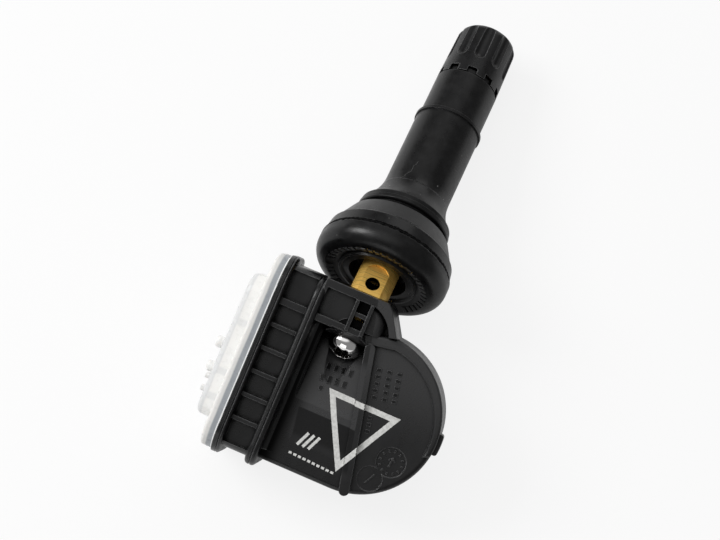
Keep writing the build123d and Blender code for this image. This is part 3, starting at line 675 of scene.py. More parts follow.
@dataclass(frozen=True)
class ValveRubber(Finish):
    """Black rubber with a mould parting line, fine scuffs and a little dust, painted highlights on its
    edges and painted shade in the reflection of its corners.
    """

    name: str = "black_rubber"
    colour: Triple = (0.0035, 0.0035, 0.0037)
    bloom: Triple = (0.007, 0.007, 0.0073)
    bloom_at: Pair = (0.4, 0.75)
    cloud: Cloud = even(0.8, 5.0)
    grain: Cloud = even(7.0, 3.0)
    grain_depth: float = 0.008
    roughness: float = 0.3
    uneven: Pair = (0.03, 0.05)
    shine: float = 0.32
    scuffs: Cloud = Cloud((2.5, 0.25, 2.5), 3.0)
    scuff_at: Pair = (0.62, 0.72)
    scuff_dull: float = 0.08
    dust: Triple = (0.34, 0.34, 0.33)
    dust_cloud: Cloud = even(0.22)
    dust_at: Pair = (0.42, 0.55)
    speck_scale: float = 0.55
    speck_size: Pair = (0.03, 0.06)
    edge: float = 0.14
    # Painted highlight: pale colour on the sharp edges.
    edge_highlight: Triple = (0.035, 0.035, 0.036)
    corner_reach: float = 1.4
    crease_at: Pair = (8.9, 9.15)
    crease_depth: float = 0.12
    parting_at: float = -2.3
    parting_half: float = 0.17
    parting_fade: float = 2.2
    parting_torn: Cloud = even(2.2)
    parting_wander: float = 0.25
    parting_depth: float = 0.2
    parting_colour: Triple = (0.002, 0.002, 0.002)
    parting_dull: float = 0.9

    def lay(self, sheet: Sheet) -> None:
        """Lays the finish out along the stem.

        Args:
            sheet: Sheet to lay it out on.
        """
        along = sheet.axes()[1]
        cloud = sheet.noise(self.cloud)
        scuff = sheet.between(sheet.noise(self.scuffs), self.scuff_at)
        speck = sheet.between(sheet.cells(self.speck_scale), self.speck_size, FALLING)
        dusty = sheet.times(speck, sheet.between(sheet.noise(self.dust_cloud), self.dust_at))
        torn = sheet.scaled(sheet.noise(self.parting_torn), 2 * self.parting_wander, -self.parting_wander)
        away = sheet.apart(sheet.plus(along, torn), self.parting_at)
        parting = sheet.between(away, (self.parting_half, self.parting_fade * self.parting_half), FALLING)
        # Painted highlight on the edges; the openness paints shade into the reflection in the corners.
        rounded, opened, highlit_edge = sheet.corner(self.edge, self.corner_reach)
        base = sheet.blend(sheet.between(cloud, self.bloom_at), self.colour, self.bloom)
        base = sheet.blend(parting, base, self.parting_colour)
        base = sheet.blend(highlit_edge, base, self.edge_highlight)
        rough = sheet.scaled(scuff, self.scuff_dull, sheet.vary(cloud, self.roughness, self.uneven))
        normal = sheet.emboss(sheet.noise(self.grain), self.grain_depth, rounded)
        normal = sheet.emboss(sheet.between(along, self.crease_at, FALLING), self.crease_depth, normal)
        sheet.shade(
            Base_Color=sheet.blend(dusty, base, self.dust),
            Roughness=sheet.most(rough, sheet.times(parting, self.parting_dull)),
            Specular_IOR_Level=self.shine,
            Specular_Tint=sheet.blend(sheet.times(opened, sheet.rest(parting)), BLACK, WHITE),
            Normal=sheet.emboss(parting, -self.parting_depth, normal),
        )


@dataclass(frozen=True)
class TurnedBrass(Finish):
    """Bright turned brass with tool lines round it, and painted shade under the cap's edge and round the
    cross hole.
    """

    name: str = "turned_brass"
    colour: Triple = (1.0, 0.62, 0.15)
    stain: Triple = (0.86, 0.48, 0.09)
    stain_cloud: Cloud = even(0.9, 4.0)
    stain_at: Pair = (0.5, 0.8)
    # Painted shade: near-black colour and reflection under the cap's edge and in a box round the cross
    # hole.
    painted_shade: Triple = (0.004, 0.003, 0.002)
    hole_low: Triple = (-1.6, -9.4, -2.2)
    hole_high: Triple = (1.6, -5.8, 2.2)
    shade_from: Pair = (31.2, 31.3)
    shade_to: Pair = (32.0, 32.4)
    metallic: float = 0.5
    roughness: float = 0.3
    uneven: Pair = (0.06, 0.12)
    tool: Cloud = Cloud((0.15, 14.0, 0.15), 4.0)
    tool_depth: float = 0.004
    tool_share: float = 0.5
    edge: float = 0.06

    def lay(self, sheet: Sheet) -> None:
        """Lays the finish out along the stem.

        Args:
            sheet: Sheet to lay it out on.
        """
        along, tool = sheet.axes()[1], sheet.noise(self.tool)
        # Painted shade under the cap's edge and round the cross hole.
        shade_fall = sheet.between(along, self.shade_to, FALLING)
        cap_shade = sheet.times(sheet.between(along, self.shade_from), shade_fall)
        stained = sheet.between(sheet.noise(self.stain_cloud), self.stain_at)
        metal = sheet.blend(stained, self.colour, self.stain)
        shade_mask = sheet.most(cap_shade, sheet.inside(self.hole_low, self.hole_high))
        sheet.shade(
            Base_Color=sheet.blend(shade_mask, metal, self.painted_shade),
            Specular_Tint=sheet.blend(shade_mask, WHITE, self.painted_shade),
            Metallic=self.metallic,
            Roughness=sheet.vary(tool, self.roughness, self.uneven),
            Normal=sheet.emboss(tool, self.tool_depth, sheet.soften(self.edge), self.tool_share),
        )


@dataclass(frozen=True)
class DrawnMetal(Finish):
    """Plated or drawn sheet metal with faint lines and stains."""

    colour: Triple
    roughness: float
    lines: Cloud = Cloud((0.2, 6.0, 0.2), 4.0)
    line_depth: float = 0.006
    line_share: float = 0.3
    stain: Cloud = even(0.5, 3.0)
    stain_at: Pair = (0.4, 0.8)
    stain_share: float = 0.72
    edge: float = 0.08

    def lay(self, sheet: Sheet) -> None:
        """Lays the finish out.

        Args:
            sheet: Sheet to lay it out on.
        """
        line, uneven = sheet.noise(self.lines), self.line_share * self.roughness
        stained = sheet.between(sheet.noise(self.stain), self.stain_at)
        sheet.shade(
            Base_Color=sheet.blend(stained, self.colour, shaded(self.colour, self.stain_share)),
            Metallic=1.0,
            Roughness=sheet.vary(line, self.roughness, (uneven, uneven)),
            Normal=sheet.emboss(line, self.line_depth, sheet.soften(self.edge)),
        )


@dataclass(frozen=True)
class BrightChrome(Finish):
    """Bright plating with painted shade down in a recess."""

    name: str = "bright_chrome"
    colour: Triple = (0.93, 0.92, 0.91)
    recess_shade: Triple = (0.03, 0.022, 0.018)
    roughness: float = 0.07
    uneven: Pair = (0.03, 0.05)
    recess_reach: float = 1.2
    recess_open: Pair = (0.45, 0.85)
    smear: Cloud = even(1.6, 3.0)
    smear_depth: float = 0.004
    edge: float = 0.08

    def lay(self, sheet: Sheet) -> None:
        """Lays the finish out.

        Args:
            sheet: Sheet to lay it out on.
        """
        smear = sheet.noise(self.smear)
        # Painted shade: dark colour where the recess closes in.
        opened = sheet.opened(self.recess_reach, self.recess_open)
        sheet.shade(
            Base_Color=sheet.blend(opened, self.recess_shade, self.colour),
            Metallic=1.0,
            Roughness=sheet.vary(smear, self.roughness, self.uneven),
            Normal=sheet.emboss(smear, self.smear_depth, sheet.soften(self.edge)),
        )


@dataclass(frozen=True)
class BoardLacquer(Finish):
    """Green lacquered laminate with paler copper runs under the lacquer."""

    name: str = "board_lacquer"
    colour: Triple = (0.015, 0.115, 0.045)
    roughness: float = 0.29
    uneven: Pair = (0.07, 0.07)
    weave: Cloud = even(4.0)
    coat: float = 0.4
    run: Triple = (0.05, 0.24, 0.09)
    run_pitch: float = 1.3
    run_wide: float = 0.22
    run_fade: float = 0.06
    run_depth: float = 0.03
    patches: Cloud = Cloud((0.35, 0.35, 0.0))
    patch_at: float = 0.5
    edge: float = 0.06

    def lay(self, sheet: Sheet) -> None:
        """Lays the finish out along the deck.

        Args:
            sheet: Sheet to lay it out on.
        """
        across, along = (sheet.fold(axis, self.run_pitch / 2) for axis in sheet.axes()[:2])
        way = sheet.mix(sheet.over(sheet.noise(self.patches), self.patch_at), across, along)
        run = sheet.between(way, (self.run_wide, self.run_wide + self.run_fade), FALLING)
        sheet.shade(
            Base_Color=sheet.blend(run, self.colour, self.run),
            Roughness=sheet.vary(sheet.noise(self.weave), self.roughness, self.uneven),
            Coat_Weight=self.coat,
            Normal=sheet.emboss(run, self.run_depth, sheet.soften(self.edge)),
        )


@dataclass(frozen=True)
class FiredCeramic(Finish):
    """Fired or wound body of a small component, with grains and, on a coil, a winding."""

    colour: Triple
    grain_colour: Triple
    roughness: float = 0.6
    winding: float = 0.0
    uneven: Pair = (0.1, 0.1)
    grain: Cloud = even(6.0, 4.0)
    grain_at: Pair = (0.4, 0.65)
    grain_depth: float = 0.02
    edge: float = 0.05

    def lay(self, sheet: Sheet) -> None:
        """Lays the finish out along the deck.

        Args:
            sheet: Sheet to lay it out on.
        """
        grain = sheet.noise(self.grain)
        normal = sheet.emboss(grain, self.grain_depth, sheet.soften(self.edge))
        if self.winding:
            wound = sheet.fold(sheet.axes()[1], self.winding)
            normal = sheet.emboss(wound, 2 * self.winding, normal)
        sheet.shade(
            Base_Color=sheet.blend(sheet.between(grain, self.grain_at), self.colour, self.grain_colour),
            Roughness=sheet.vary(grain, self.roughness, self.uneven),
            Normal=normal,
        )


# Meshes


class Stamp:
    """Thin marks and low reliefs that lie on the skin of a CAD node."""

    def __init__(self, skin: BVHTree, down: Vector, place: Callable[[float, float], Vector]) -> None:
        """Keeps where the marks go.

        Args:
            skin: Skin that the marks lie on.
            down: Direction towards the skin.
            place: Start of the way down from a place in the drawing.
        """
        self.skin, self.down, self.place = skin, down, place

    def seat(self, x: float, y: float, lift: float) -> Vector:
        """Place on the skin under a place in the drawing, lifted by a height in millimetres."""
        hit = self.skin.ray_cast(self.place(x, y), self.down)[0]
        return hit - self.down * lift * MM

    def cut(self, name: str, quads: Sequence[Quad], pitch: float, lift: float, thick: float) -> Piece:
        """Makes one piece from four-sided patches.

        Args:
            name: Name of the piece.
            quads: Patches, each with its corners in order.
            pitch: Length of a mesh step.
            lift: Height of the top above the skin.
            thick: Thickness of the piece, downwards from its top.

        Returns:
            The new object.
        """
        mesh = bmesh.new()
        for quad in quads:
            near, right, far, left = (Vector(corner) for corner in quad)
            columns = max(1, round(max((right - near).length, (far - left).length) / pitch))
            rows = max(1, round(max((left - near).length, (far - right).length) / pitch))
            grid = []
            for row in range(rows + 1):
                first, last = near.lerp(left, row / rows), right.lerp(far, row / rows)
                spots = (first.lerp(last, column / columns) for column in range(columns + 1))
                grid.append([mesh.verts.new(self.seat(spot.x, spot.y, lift)) for spot in spots])
            for low, high in zip(grid, grid[1:]):
                for column in range(columns):
                    mesh.faces.new((low[column], low[column + 1], high[column + 1], high[column]))
        made = solid_from(name, mesh)
        for face in made.data.polygons:
            if face.normal.dot(self.down) > 0:
                face.flip()
        wall = made.modifiers.new("wall", "SOLIDIFY")
        wall.thickness, wall.offset = thick * MM, -1.0
        return made


def linked(name: str, data: bpy.types.ID) -> Piece:
    """Puts an object with some data into the scene.

    Args:
        name: Name of the object.
        data: Mesh, curve, light or camera.

    Returns:
        The new object.
    """
    made = bpy.data.objects.new(name, data)
    bpy.context.scene.collection.objects.link(made)
    return made


def solid_from(name: str, mesh: bmesh.types.BMesh) -> Piece:
    """Turns a mesh under work into an object of the scene.

    Args:
        name: Name of the object.
        mesh: Mesh, which is freed.

    Returns:
        The new object.
    """
    data = bpy.data.meshes.new(name)
    mesh.to_mesh(data)
    mesh.free()
    return linked(name, data)


def swept(name: str, rings: Sequence[Sequence[Vector]]) -> Piece:
    """Object with a skin over rings of points and closed ends.

    Args:
        name: Name of the object.
        rings: Rings in order, with equal counts of points.

    Returns:
        The new object.
    """
    mesh = bmesh.new()
    loops = [[mesh.verts.new(spot) for spot in ring] for ring in rings]
    for first, last in zip(loops, loops[1:]):
        for index in range(len(first)):
            before = index - 1
            mesh.faces.new((first[before], first[index], last[index], last[before]))
    mesh.faces.new(loops[0])
    mesh.faces.new(loops[-1])
    bmesh.ops.recalc_face_normals(mesh, faces=mesh.faces[:])
    return solid_from(name, mesh)


def turns(count: int) -> list[float]:
    """Angles of equal steps once round a circle."""
    return [2 * math.pi * step / count for step in range(count)]


def bar(x: float, y: float, length: float, width: float, angle: float) -> Quad:
    """Corners of a bar about its middle, turned by an angle in degrees.

    Args:
        x: First place of the middle.
        y: Second place of the middle.
        length: Whole length.
        width: Whole width.
        angle: Turn from the first axis.

    Returns:
        The corners in order.
    """
    turn = Matrix.Rotation(math.radians(angle), 2)
    corners = ((-length, -width), (length, -width), (length, width), (-length, width))
    return tuple(tuple(Vector((x, y)) + turn @ Vector(corner) / 2) for corner in corners)


@dataclass(frozen=True)
class DashRow:
    """Straight row of equal dashes."""

    start: Pair
    step: Pair
    count: int
    length: float
    width: float
    angle: float

    def quads(self) -> list[Quad]:
        """Patches of the dashes."""
        spots = (Vector(self.start) + index * Vector(self.step) for index in range(self.count))
        return [bar(spot.x, spot.y, self.length, self.width, self.angle) for spot in spots]


def settle(piece: Piece, body: Body, material: Material) -> None:
    """Gives a piece its finish and the body it rides on, and reports it.

    Args:
        piece: Piece without a material.
        body: Body that it rides on.
        material: Material that it gets.
    """
    piece.data.materials.append(material)
    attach(piece, body.value)
    log.info("piece %s rides on %s", piece.name, body.value)


def dress(frame: SensorFrame, material: Material, *names: str) -> None:
    """Gives CAD nodes a finish and reports them.

    Args:
        frame: Frame of the nodes.
        material: Material that they get.
        names: Names of the nodes.
    """
    for name in names:
        data = frame.node(name).data
        data.materials.clear()
        data.materials.append(material)
        log.info("node %s dressed with %s", name, material.name)


# Sub-assemblies


@dataclass
class Housing:
    """Black moulded housing with its burnt and moulded marks."""

    frame: SensorFrame
    drawn_from: float = 6.0
    triangle: tuple[Pair, ...] = ((-5.4, 1.4), (5.6, 1.3), (0.0, -9.0))
    triangle_line: float = 0.8
    triangle_clear: float = 1.25
    mark_step: float = 0.16
    mark_lift: float = 0.02
    hatch: DashRow = DashRow((-6.0, -6.55), (0.85, 0.0), 3, 2.3, 0.42, 66.0)
    code: DashRow = DashRow((-6.9, -9.0), (0.72, -0.035), 10, 0.46, 0.34, -2.0)
    relief: float = 0.1
    relief_sunk: float = 0.1
    rows: tuple[DashRow, ...] = (
        DashRow((-6.75, 4.05), (1.08, 0.1), 4, 0.62, 1.0, 5.0),
        DashRow((-6.95, 2.35), (1.08, 0.08), 4, 0.62, 1.0, 5.0),
        DashRow((-6.5, 0.95), (1.08, 0.08), 1, 0.62, 0.7, 5.0),
    )
    lines: tuple[DashRow, ...] = (
        DashRow((0.1, 6.5), (0.2, -0.95), 10, 0.55, 0.7, -79.0),
        DashRow((1.55, 6.75), (0.2, -0.95), 10, 0.55, 0.7, -79.0),
        DashRow((2.95, 7.0), (0.2, -0.95), 7, 0.55, 0.7, -79.0),
    )
    clock_at: Pair = (6.64, -4.74)
    clock_ticks: int = 12
    clock_radius: float = 1.62
    clock_tick: Pair = (0.42, 0.26)
    clock_arrow: tuple[DashRow, ...] = (
        DashRow((6.64, -4.74), (0.0, 0.0), 1, 1.5, 0.28, 80.0),
        DashRow((6.44, -4.29), (0.0, 0.0), 1, 0.7, 0.24, 40.0),
        DashRow((6.96, -4.34), (0.0, 0.0), 1, 0.7, 0.24, 120.0),
    )
    slot: DashRow = DashRow((4.75, -8.0), (0.0, 0.0), 1, 1.9, 0.22, 62.0)

    def stamp(self) -> Stamp:
        """Stamp that comes down on the marked face."""
        skin, deck = self.frame.skin("housing"), self.frame.deck
        return Stamp(skin, deck.direction(0, 0, -1), lambda x, y: deck.point(x, y, self.drawn_from))

    def triangle_sides(self) -> list[Quad]:
        """Three mitred sides of the outline triangle.

        Returns:
            A patch for each side.
        """
        outer = [Vector(corner) for corner in self.triangle]
        inner = []
        for corner, before, after in zip(outer, outer[-1:] + outer[:-1], outer[1:] + outer[:1]):
            first, second = (before - corner).normalized(), (after - corner).normalized()
            halfway = (first + second).normalized()
            inner.append(corner + halfway * self.triangle_line / math.sin(first.angle(second) / 2))
        return [
            tuple(tuple(spot) for spot in (outer[end], outer[end - 1], inner[end - 1], inner[end]))
            for end in range(len(outer))
        ]

    def clear_of_triangle(self, quad: Quad) -> bool:
        """Whether the middle of a patch keeps clear of the sides of the burnt triangle.

        Args:
            quad: Patch to try.

        Returns:
            True if it does.
        """
        middle = sum((Vector(corner) for corner in quad), Vector((0.0, 0.0))) / len(quad)
        ends = [Vector(corner) for corner in self.triangle]
        for first, last in zip(ends, ends[1:] + ends[:1]):
            side = last - first
            share = min(1.0, max(0.0, (middle - first).dot(side) / side.length_squared))
            if (first + share * side - middle).length < self.triangle_clear:
                return False
        return True

    def build_marks(self) -> None:
        """Silvery burnt marks: the triangle, a hatch and a line of dashes."""
        finish = BurntMark().material(self.frame.deck)
        stamp = self.stamp()
        for name, quads in (
            ("mark_triangle", self.triangle_sides()),
            ("mark_hatch", self.hatch.quads()),
            ("mark_dashes", self.code.quads()),
        ):
            piece = stamp.cut(name, quads, self.mark_step, self.mark_lift, self.mark_lift)
            settle(piece, Body.SENSOR, finish)

    def clock_quads(self) -> list[Quad]:
        """Patches of the mould clock: ticks in a ring and an arrow.

        Returns:
            The patches of both.
        """
        ring = []
        for angle in turns(self.clock_ticks):
            spot = Vector(self.clock_at) + self.clock_radius * Vector((math.cos(angle), math.sin(angle)))
            ring.append(bar(*spot, *self.clock_tick, math.degrees(angle)))
        return ring + [quad for row in self.clock_arrow for quad in row.quads()]

    def build_reliefs(self, finish: Material) -> None:
        """Moulded reliefs: rows of dashes, the mould clock and the slot.

        Args:
            finish: Material of the reliefs.
        """
        stamp = self.stamp()
        rows = [quad for row in self.rows for quad in row.quads()]
        lines = [quad for row in self.lines for quad in row.quads() if self.clear_of_triangle(quad)]
        for name, quads in (
            ("relief_rows", rows),
            ("relief_lines", lines),
            ("mould_clock", self.clock_quads()),
            ("mould_slot", self.slot.quads()),
        ):
            piece = stamp.cut(name, quads, self.mark_step, self.relief, self.relief + self.relief_sunk)
            settle(piece, Body.SENSOR, finish)

    def build(self) -> None:
        """Dresses the housing and makes its marks."""
        deck = self.frame.deck
        finish = HousingPlastic("housing_plastic", (0.0045, 0.0045, 0.0048), roughness=0.3, shine=0.42)
        dress(self.frame, finish.material(deck), "housing")
        self.build_marks()
        relief = MouldedPlastic("relief_plastic", (0.002, 0.002, 0.0022), roughness=0.3, shine=0.3)
        self.build_reliefs(relief.material(deck))


@dataclass
class Cover:
    """Pale welded cover with the thin line of plastic squeezed out of its weld."""

    frame: SensorFrame
    weld_x: float = -17.45
    slice_in: float = 0.3
    bead_radius: float = 0.09
    bead_inset: float = 0.14
    bead_sides: int = 3

    def outline(self) -> list[Vector]:
        """Outer line round the flange, cut from the housing just inside the weld.

        Returns:
            Points of the line in the frame, in metres.
        """
        deck = self.frame.deck
        mesh = bmesh.new()
        mesh.from_mesh(self.frame.node("housing").data)
        cut = bmesh.ops.bisect_plane(
            mesh,
            geom=mesh.verts[:] + mesh.edges[:] + mesh.faces[:],
            plane_co=deck.point(self.weld_x + self.slice_in, 0, 0),
            plane_no=deck.direction(1, 0, 0),
            clear_inner=True,
            clear_outer=True,
        )["geom_cut"]
        spots = [item.co.copy() for item in cut if isinstance(item, bmesh.types.BMVert)]
        mesh.free()
        inverse = deck.matrix.inverted()
        flat = [(inverse @ (spot - deck.origin) / MM).yz for spot in spots]
        middle = Vector([(max(side) + min(side)) / 2 for side in zip(*flat)])
        rim: dict[int, Vector] = {}
        for away in (spot - middle for spot in flat):
            key = round(math.degrees(math.atan2(away.y, away.x)))
            if key not in rim or away.length > rim[key].length:
                rim[key] = away
        line = []
        for key in sorted(rim):
            spot = middle + rim[key].normalized() * (rim[key].length - self.bead_inset)
            line.append(deck.point(self.weld_x, *spot))
        return line

    def build_weld(self, finish: Material) -> None:
        """Thin bead along the weld.

        Args:
            finish: Material of the bead.
        """
        line = bpy.data.curves.new("weld_bead", "CURVE")
        line.dimensions = "3D"
        line.bevel_depth, line.bevel_resolution = self.bead_radius * MM, self.bead_sides
        points = self.outline()
        spline = line.splines.new("POLY")
        spline.points.add(len(points) - 1)
        for spot, point in zip(points, spline.points):
            point.co = (*spot, 1.0)
        spline.use_cyclic_u = True
        settle(linked("weld_bead", line), Body.SENSOR, finish)

    def build(self) -> None:
        """Dresses the cover and makes the weld bead."""
        finish = MilkyPlastic().material(self.frame.deck)
        dress(self.frame, finish, "cover")
        self.build_weld(finish)


@dataclass
class Electronics:
    """Coin cell, board and components inside the housing."""

    frame: SensorFrame

    def build(self) -> None:
        """Dresses the inner nodes."""
        for finish, *names in (
            (DrawnMetal("cell_steel", (0.66, 0.66, 0.64), 0.28), "battery_cell"),
            (DrawnMetal("strip_nickel", (0.62, 0.60, 0.56), 0.34, Cloud((6.0, 0.2, 0.2), 4.0)),
             "battery_strip_minus", "battery_strip_plus"),
            (BoardLacquer(), "circuit_board"),
            (MouldedPlastic("chip_plastic", (0.03, 0.03, 0.032), 0.5, grain=even(9.0, 3.0)),
             "pressure_chip", "radio_chip"),
            (FiredCeramic("ferrite", (0.10, 0.085, 0.08), (0.30, 0.13, 0.06), 0.5, 0.06), "wake_coil"),
            (DrawnMetal("crystal_can", (0.68, 0.67, 0.64), 0.3), "crystal"),
            (FiredCeramic("ceramic", (0.46, 0.33, 0.22), (0.62, 0.50, 0.36)), "capacitors"),
            (DrawnMetal("aerial_copper", (0.72, 0.40, 0.26), 0.26), "antenna_loop"),
        ):
            dress(self.frame, finish.material(self.frame.deck), *names)


@dataclass
class Valve:
    """Rubber valve bonded to its brass, with the sprung core inside."""

    frame: SensorFrame
    ring_inner: float = 6.75
    ring_outer: float = 7.7
    ring_dashes: int = 46
    ring_word: int = 8
    ring_gap: float = 0.34
    ring_step: float = 0.3
    ring_from: float = -9.0
    ring_lift: float = 0.12
    spring_ends: Pair = (18.5, 27.0)
    spring_press: float = 1.2
    spring_radius: float = 0.92
    spring_wire: float = 0.15
    spring_turns: int = 6
    spring_around: int = 10
    coil_steps: int = 40
    thread_ends: Pair = (32.4, 37.2)
    thread_pitch: float = 0.794
    thread_sunk: float = 3.65
    thread_root: float = 3.74
    thread_crest: float = 3.835
    thread_flat: float = 0.07
    thread_runout: float = 12.0
    scratch_from: float = 20.0
    scratch_wide: float = 0.07
    scratch_lift: float = 0.015
    scratch: tuple[Pair, ...] = (
        (-1.4, 12.5), (-1.45, 12.0), (-1.75, 11.6), (-1.7, 10.6), (-2.2, 10.0), (-2.4, 9.4), (-2.8, 8.9)
    )

    def build_ring(self, finish: Material) -> None:
        """Ring of raised dashes on the underside of the rubber.

        Args:
            finish: Material of the rubber.
        """
        stem = self.frame.stem
        skin, down = self.frame.skin("valve_rubber"), stem.direction(0, 1, 0)
        stamp = Stamp(skin, down, lambda x, up: stem.point(x, self.ring_from, up))
        step = 2 * math.pi / self.ring_dashes
        quads = []
        for index in range(self.ring_dashes):
            if index % self.ring_word == self.ring_word - 1:
                continue
            start, end = index * step, (index + 1 - self.ring_gap) * step
            inner, outer = self.ring_inner, self.ring_outer
            around = ((inner, start), (outer, start), (outer, end), (inner, end))
            quads.append(tuple((far * math.cos(angle), far * math.sin(angle)) for far, angle in around))
        piece = stamp.cut("underside_dashes", quads, self.ring_step, self.ring_lift, 2 * self.ring_lift)
        settle(piece, Body.SENSOR, finish)

    def build_scratch(self) -> None:
        """Fine pale scratch down the sleeve and over the flare."""
        stem = self.frame.stem
        skin, down = self.frame.skin("valve_rubber"), stem.direction(0, 0, -1)
        stamp = Stamp(skin, down, lambda x, along: stem.point(x, along, self.scratch_from))
        quads = []
        for first, last in zip(self.scratch, self.scratch[1:]):
            run = Vector(last) - Vector(first)
            middle = (Vector(first) + Vector(last)) / 2
            angle = math.degrees(math.atan2(run.y, run.x))
            quads.append(bar(middle.x, middle.y, run.length, self.scratch_wide, angle))
        piece = stamp.cut("rubber_scratch", quads, self.ring_step, self.scratch_lift, self.scratch_lift)
        finish = ValveRubber("scuffed_rubber", (0.05, 0.05, 0.05), (0.12, 0.12, 0.115))
        settle(piece, Body.SENSOR, finish.material(stem))

    def thread_rings(self) -> list[list[Vector]]:
        """Cross-sections of the right-hand thread round the brass tip, sunk at both ends.

        Returns:
            Rings of points along the thread.
        """
        stem, half = self.frame.stem, self.thread_pitch / 2
        low, high = self.thread_ends
        count = round((high - low) / self.thread_pitch * self.coil_steps)
        rings = []
        for step in range(count + 1):
            angle = -2 * math.pi * step / self.coil_steps
            along = low + self.thread_pitch * step / self.coil_steps
            runout = min(1.0, step / self.thread_runout, (count - step) / self.thread_runout)
            crest = self.thread_root + (self.thread_crest - self.thread_root) * runout
            shape = ((self.thread_sunk, half), (self.thread_root, half), (crest, self.thread_flat),
                     (crest, -self.thread_flat), (self.thread_root, -half), (self.thread_sunk, -half))
            rings.append([stem.around(radius, angle, along + aside) for radius, aside in shape])
        return rings

    def spring_rings(self) -> list[list[Vector]]:
        """Rings of points along the wire of the right-hand spring.

        Returns:
            The rings in order.
        """
        stem, wire = self.frame.stem, self.spring_wire
        low, high = self.spring_ends[0] + wire, self.spring_ends[1] - wire
        steps = self.spring_turns * self.coil_steps
        rise, stride = (high - low) / steps, 2 * math.pi * self.spring_radius / self.coil_steps
        rings = []
        for step in range(steps + 1):
            angle = -2 * math.pi * step / self.coil_steps
            outward = Vector((math.cos(angle), 0.0, math.sin(angle)))
            forward = Vector((stride * outward.z, rise, -stride * outward.x)).normalized()
            sideways = forward.cross(outward)
            middle = self.spring_radius * outward + Vector((0.0, low + rise * step, 0.0))
            rings.append([
                stem.point(*(middle + wire * (outward * math.cos(turn) + sideways * math.sin(turn))))
                for turn in turns(self.spring_around)
            ])
        return rings

    def build_spring(self) -> None:
        """Coiled spring in place of its rigid solid."""
        stem = self.frame.stem
        piece = swept("coiled_spring", self.spring_rings())
        piece.data.shade_smooth()
        finish = DrawnMetal("spring_steel", (0.56, 0.56, 0.57), 0.3, even(0.3, 4.0)).material(stem)
        dress(self.frame, finish, "core_spring")
        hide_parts("core_spring")
        settle(piece, Body.SENSOR, finish)
        low, high = self.spring_ends
        stem.direction(0, 1, 0)
        stem.point(0, low, 0)
        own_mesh(piece)

    def build(self) -> None:
        """Dresses the valve and makes the ring of dashes, the scratch, the thread and the spring."""
        stem = self.frame.stem
        rubber = ValveRubber().material(stem)
        dress(self.frame, rubber, "valve_rubber")
        self.build_ring(rubber)
        self.build_scratch()
        brass = TurnedBrass().material(stem)
        dress(self.frame, brass, "brass_insert", "core_barrel", "core_pin")
        settle(swept("tip_thread", self.thread_rings()), Body.SENSOR, brass)
        seal = MouldedPlastic("seal_rubber", (0.014, 0.014, 0.015), 0.6).material(stem)
        dress(self.frame, seal, "core_gasket", "plunger_seal", "port_seal", "cap_seal")
        self.build_spring()


@dataclass
class Cap:
    """Fluted cap on the valve."""

    frame: SensorFrame

    def build(self) -> None:
        """Dresses the cap."""
        finish = MouldedPlastic("cap_plastic", (0.004, 0.004, 0.0043), roughness=0.3, shine=0.34)
        dress(self.frame, finish.material(self.frame.stem), "valve_cap")


@dataclass
class Screw:
    """Bright domed screw that holds the housing on the valve, in place of its plain solid."""

    frame: SensorFrame
    seat: float = -17.2
    head_radius: float = 2.45
    flank: float = 0.1
    crown: float = 1.5
    shank_radius: float = 1.4
    shank_length: float = 6.0
    star_radius: float = 1.3
    star_swing: float = 0.16
    star_lobes: int = 6
    star_deep: float = 1.4
    star_taper: float = 0.9
    around: int = 96
    dome_rings: int = 14
    sharp_angle: float = 35.0

    def dome(self, tilt: float) -> Pair:
        """Radius and distance along the stem of the domed face at a tilt from its top."""
        return self.head_radius * math.sin(tilt), self.seat - self.flank - self.crown * math.cos(tilt)

    def rings(self, angle: float) -> list[Pair]:
        """Outline of the screw at an angle round it.

        Args:
            angle: Angle round the stem.

        Returns:
            Radius and distance along the stem of each ring, from the recess to the shank's end.
        """
        star = self.star_radius + self.star_swing * math.cos(self.star_lobes * angle)
        spots = [(star * self.star_taper, self.dome(0.0)[1] + self.star_deep)]
        rim = math.asin(star / self.head_radius)
        for step in range(self.dome_rings + 1):
            spots.append(self.dome(rim + (math.pi / 2 - rim) * step / self.dome_rings))
        spots += [(self.head_radius, self.seat), (self.shank_radius, self.seat)]
        return spots + [(self.shank_radius, self.seat + self.shank_length)]

    def build(self) -> None:
        """Makes the screw and dresses it."""
        stem = self.frame.stem
        columns = [
            [stem.around(radius, angle, along) for radius, along in self.rings(angle)]
            for angle in turns(self.around)
        ]
        piece = swept("domed_screw", list(zip(*columns)))
        piece.data.shade_smooth()
        piece.data.set_sharp_from_angle(angle=math.radians(self.sharp_angle))
        finish = BrightChrome().material(stem)
        dress(self.frame, finish, "retaining_screw")
        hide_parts("retaining_screw")
        settle(piece, Body.SENSOR, finish)


# Studio


@dataclass(frozen=True)
class Lamp:
    """Soft square lamp that shines at the sensor."""

    name: str
    place: Triple
    size: float
    power: float

    def hang(self, aim: Vector) -> None:
        """Puts the lamp up and turns it to a place.

        Args:
            aim: Place that it shines at.
        """
        data = bpy.data.lights.new(self.name, "AREA")
        data.shape, data.size, data.energy = "SQUARE", self.size * MM, self.power
        lamp = linked(self.name, data)
        lamp.location = Vector(self.place) * MM
        lamp.rotation_euler = (aim - lamp.location).to_track_quat("-Z", "Y").to_euler()


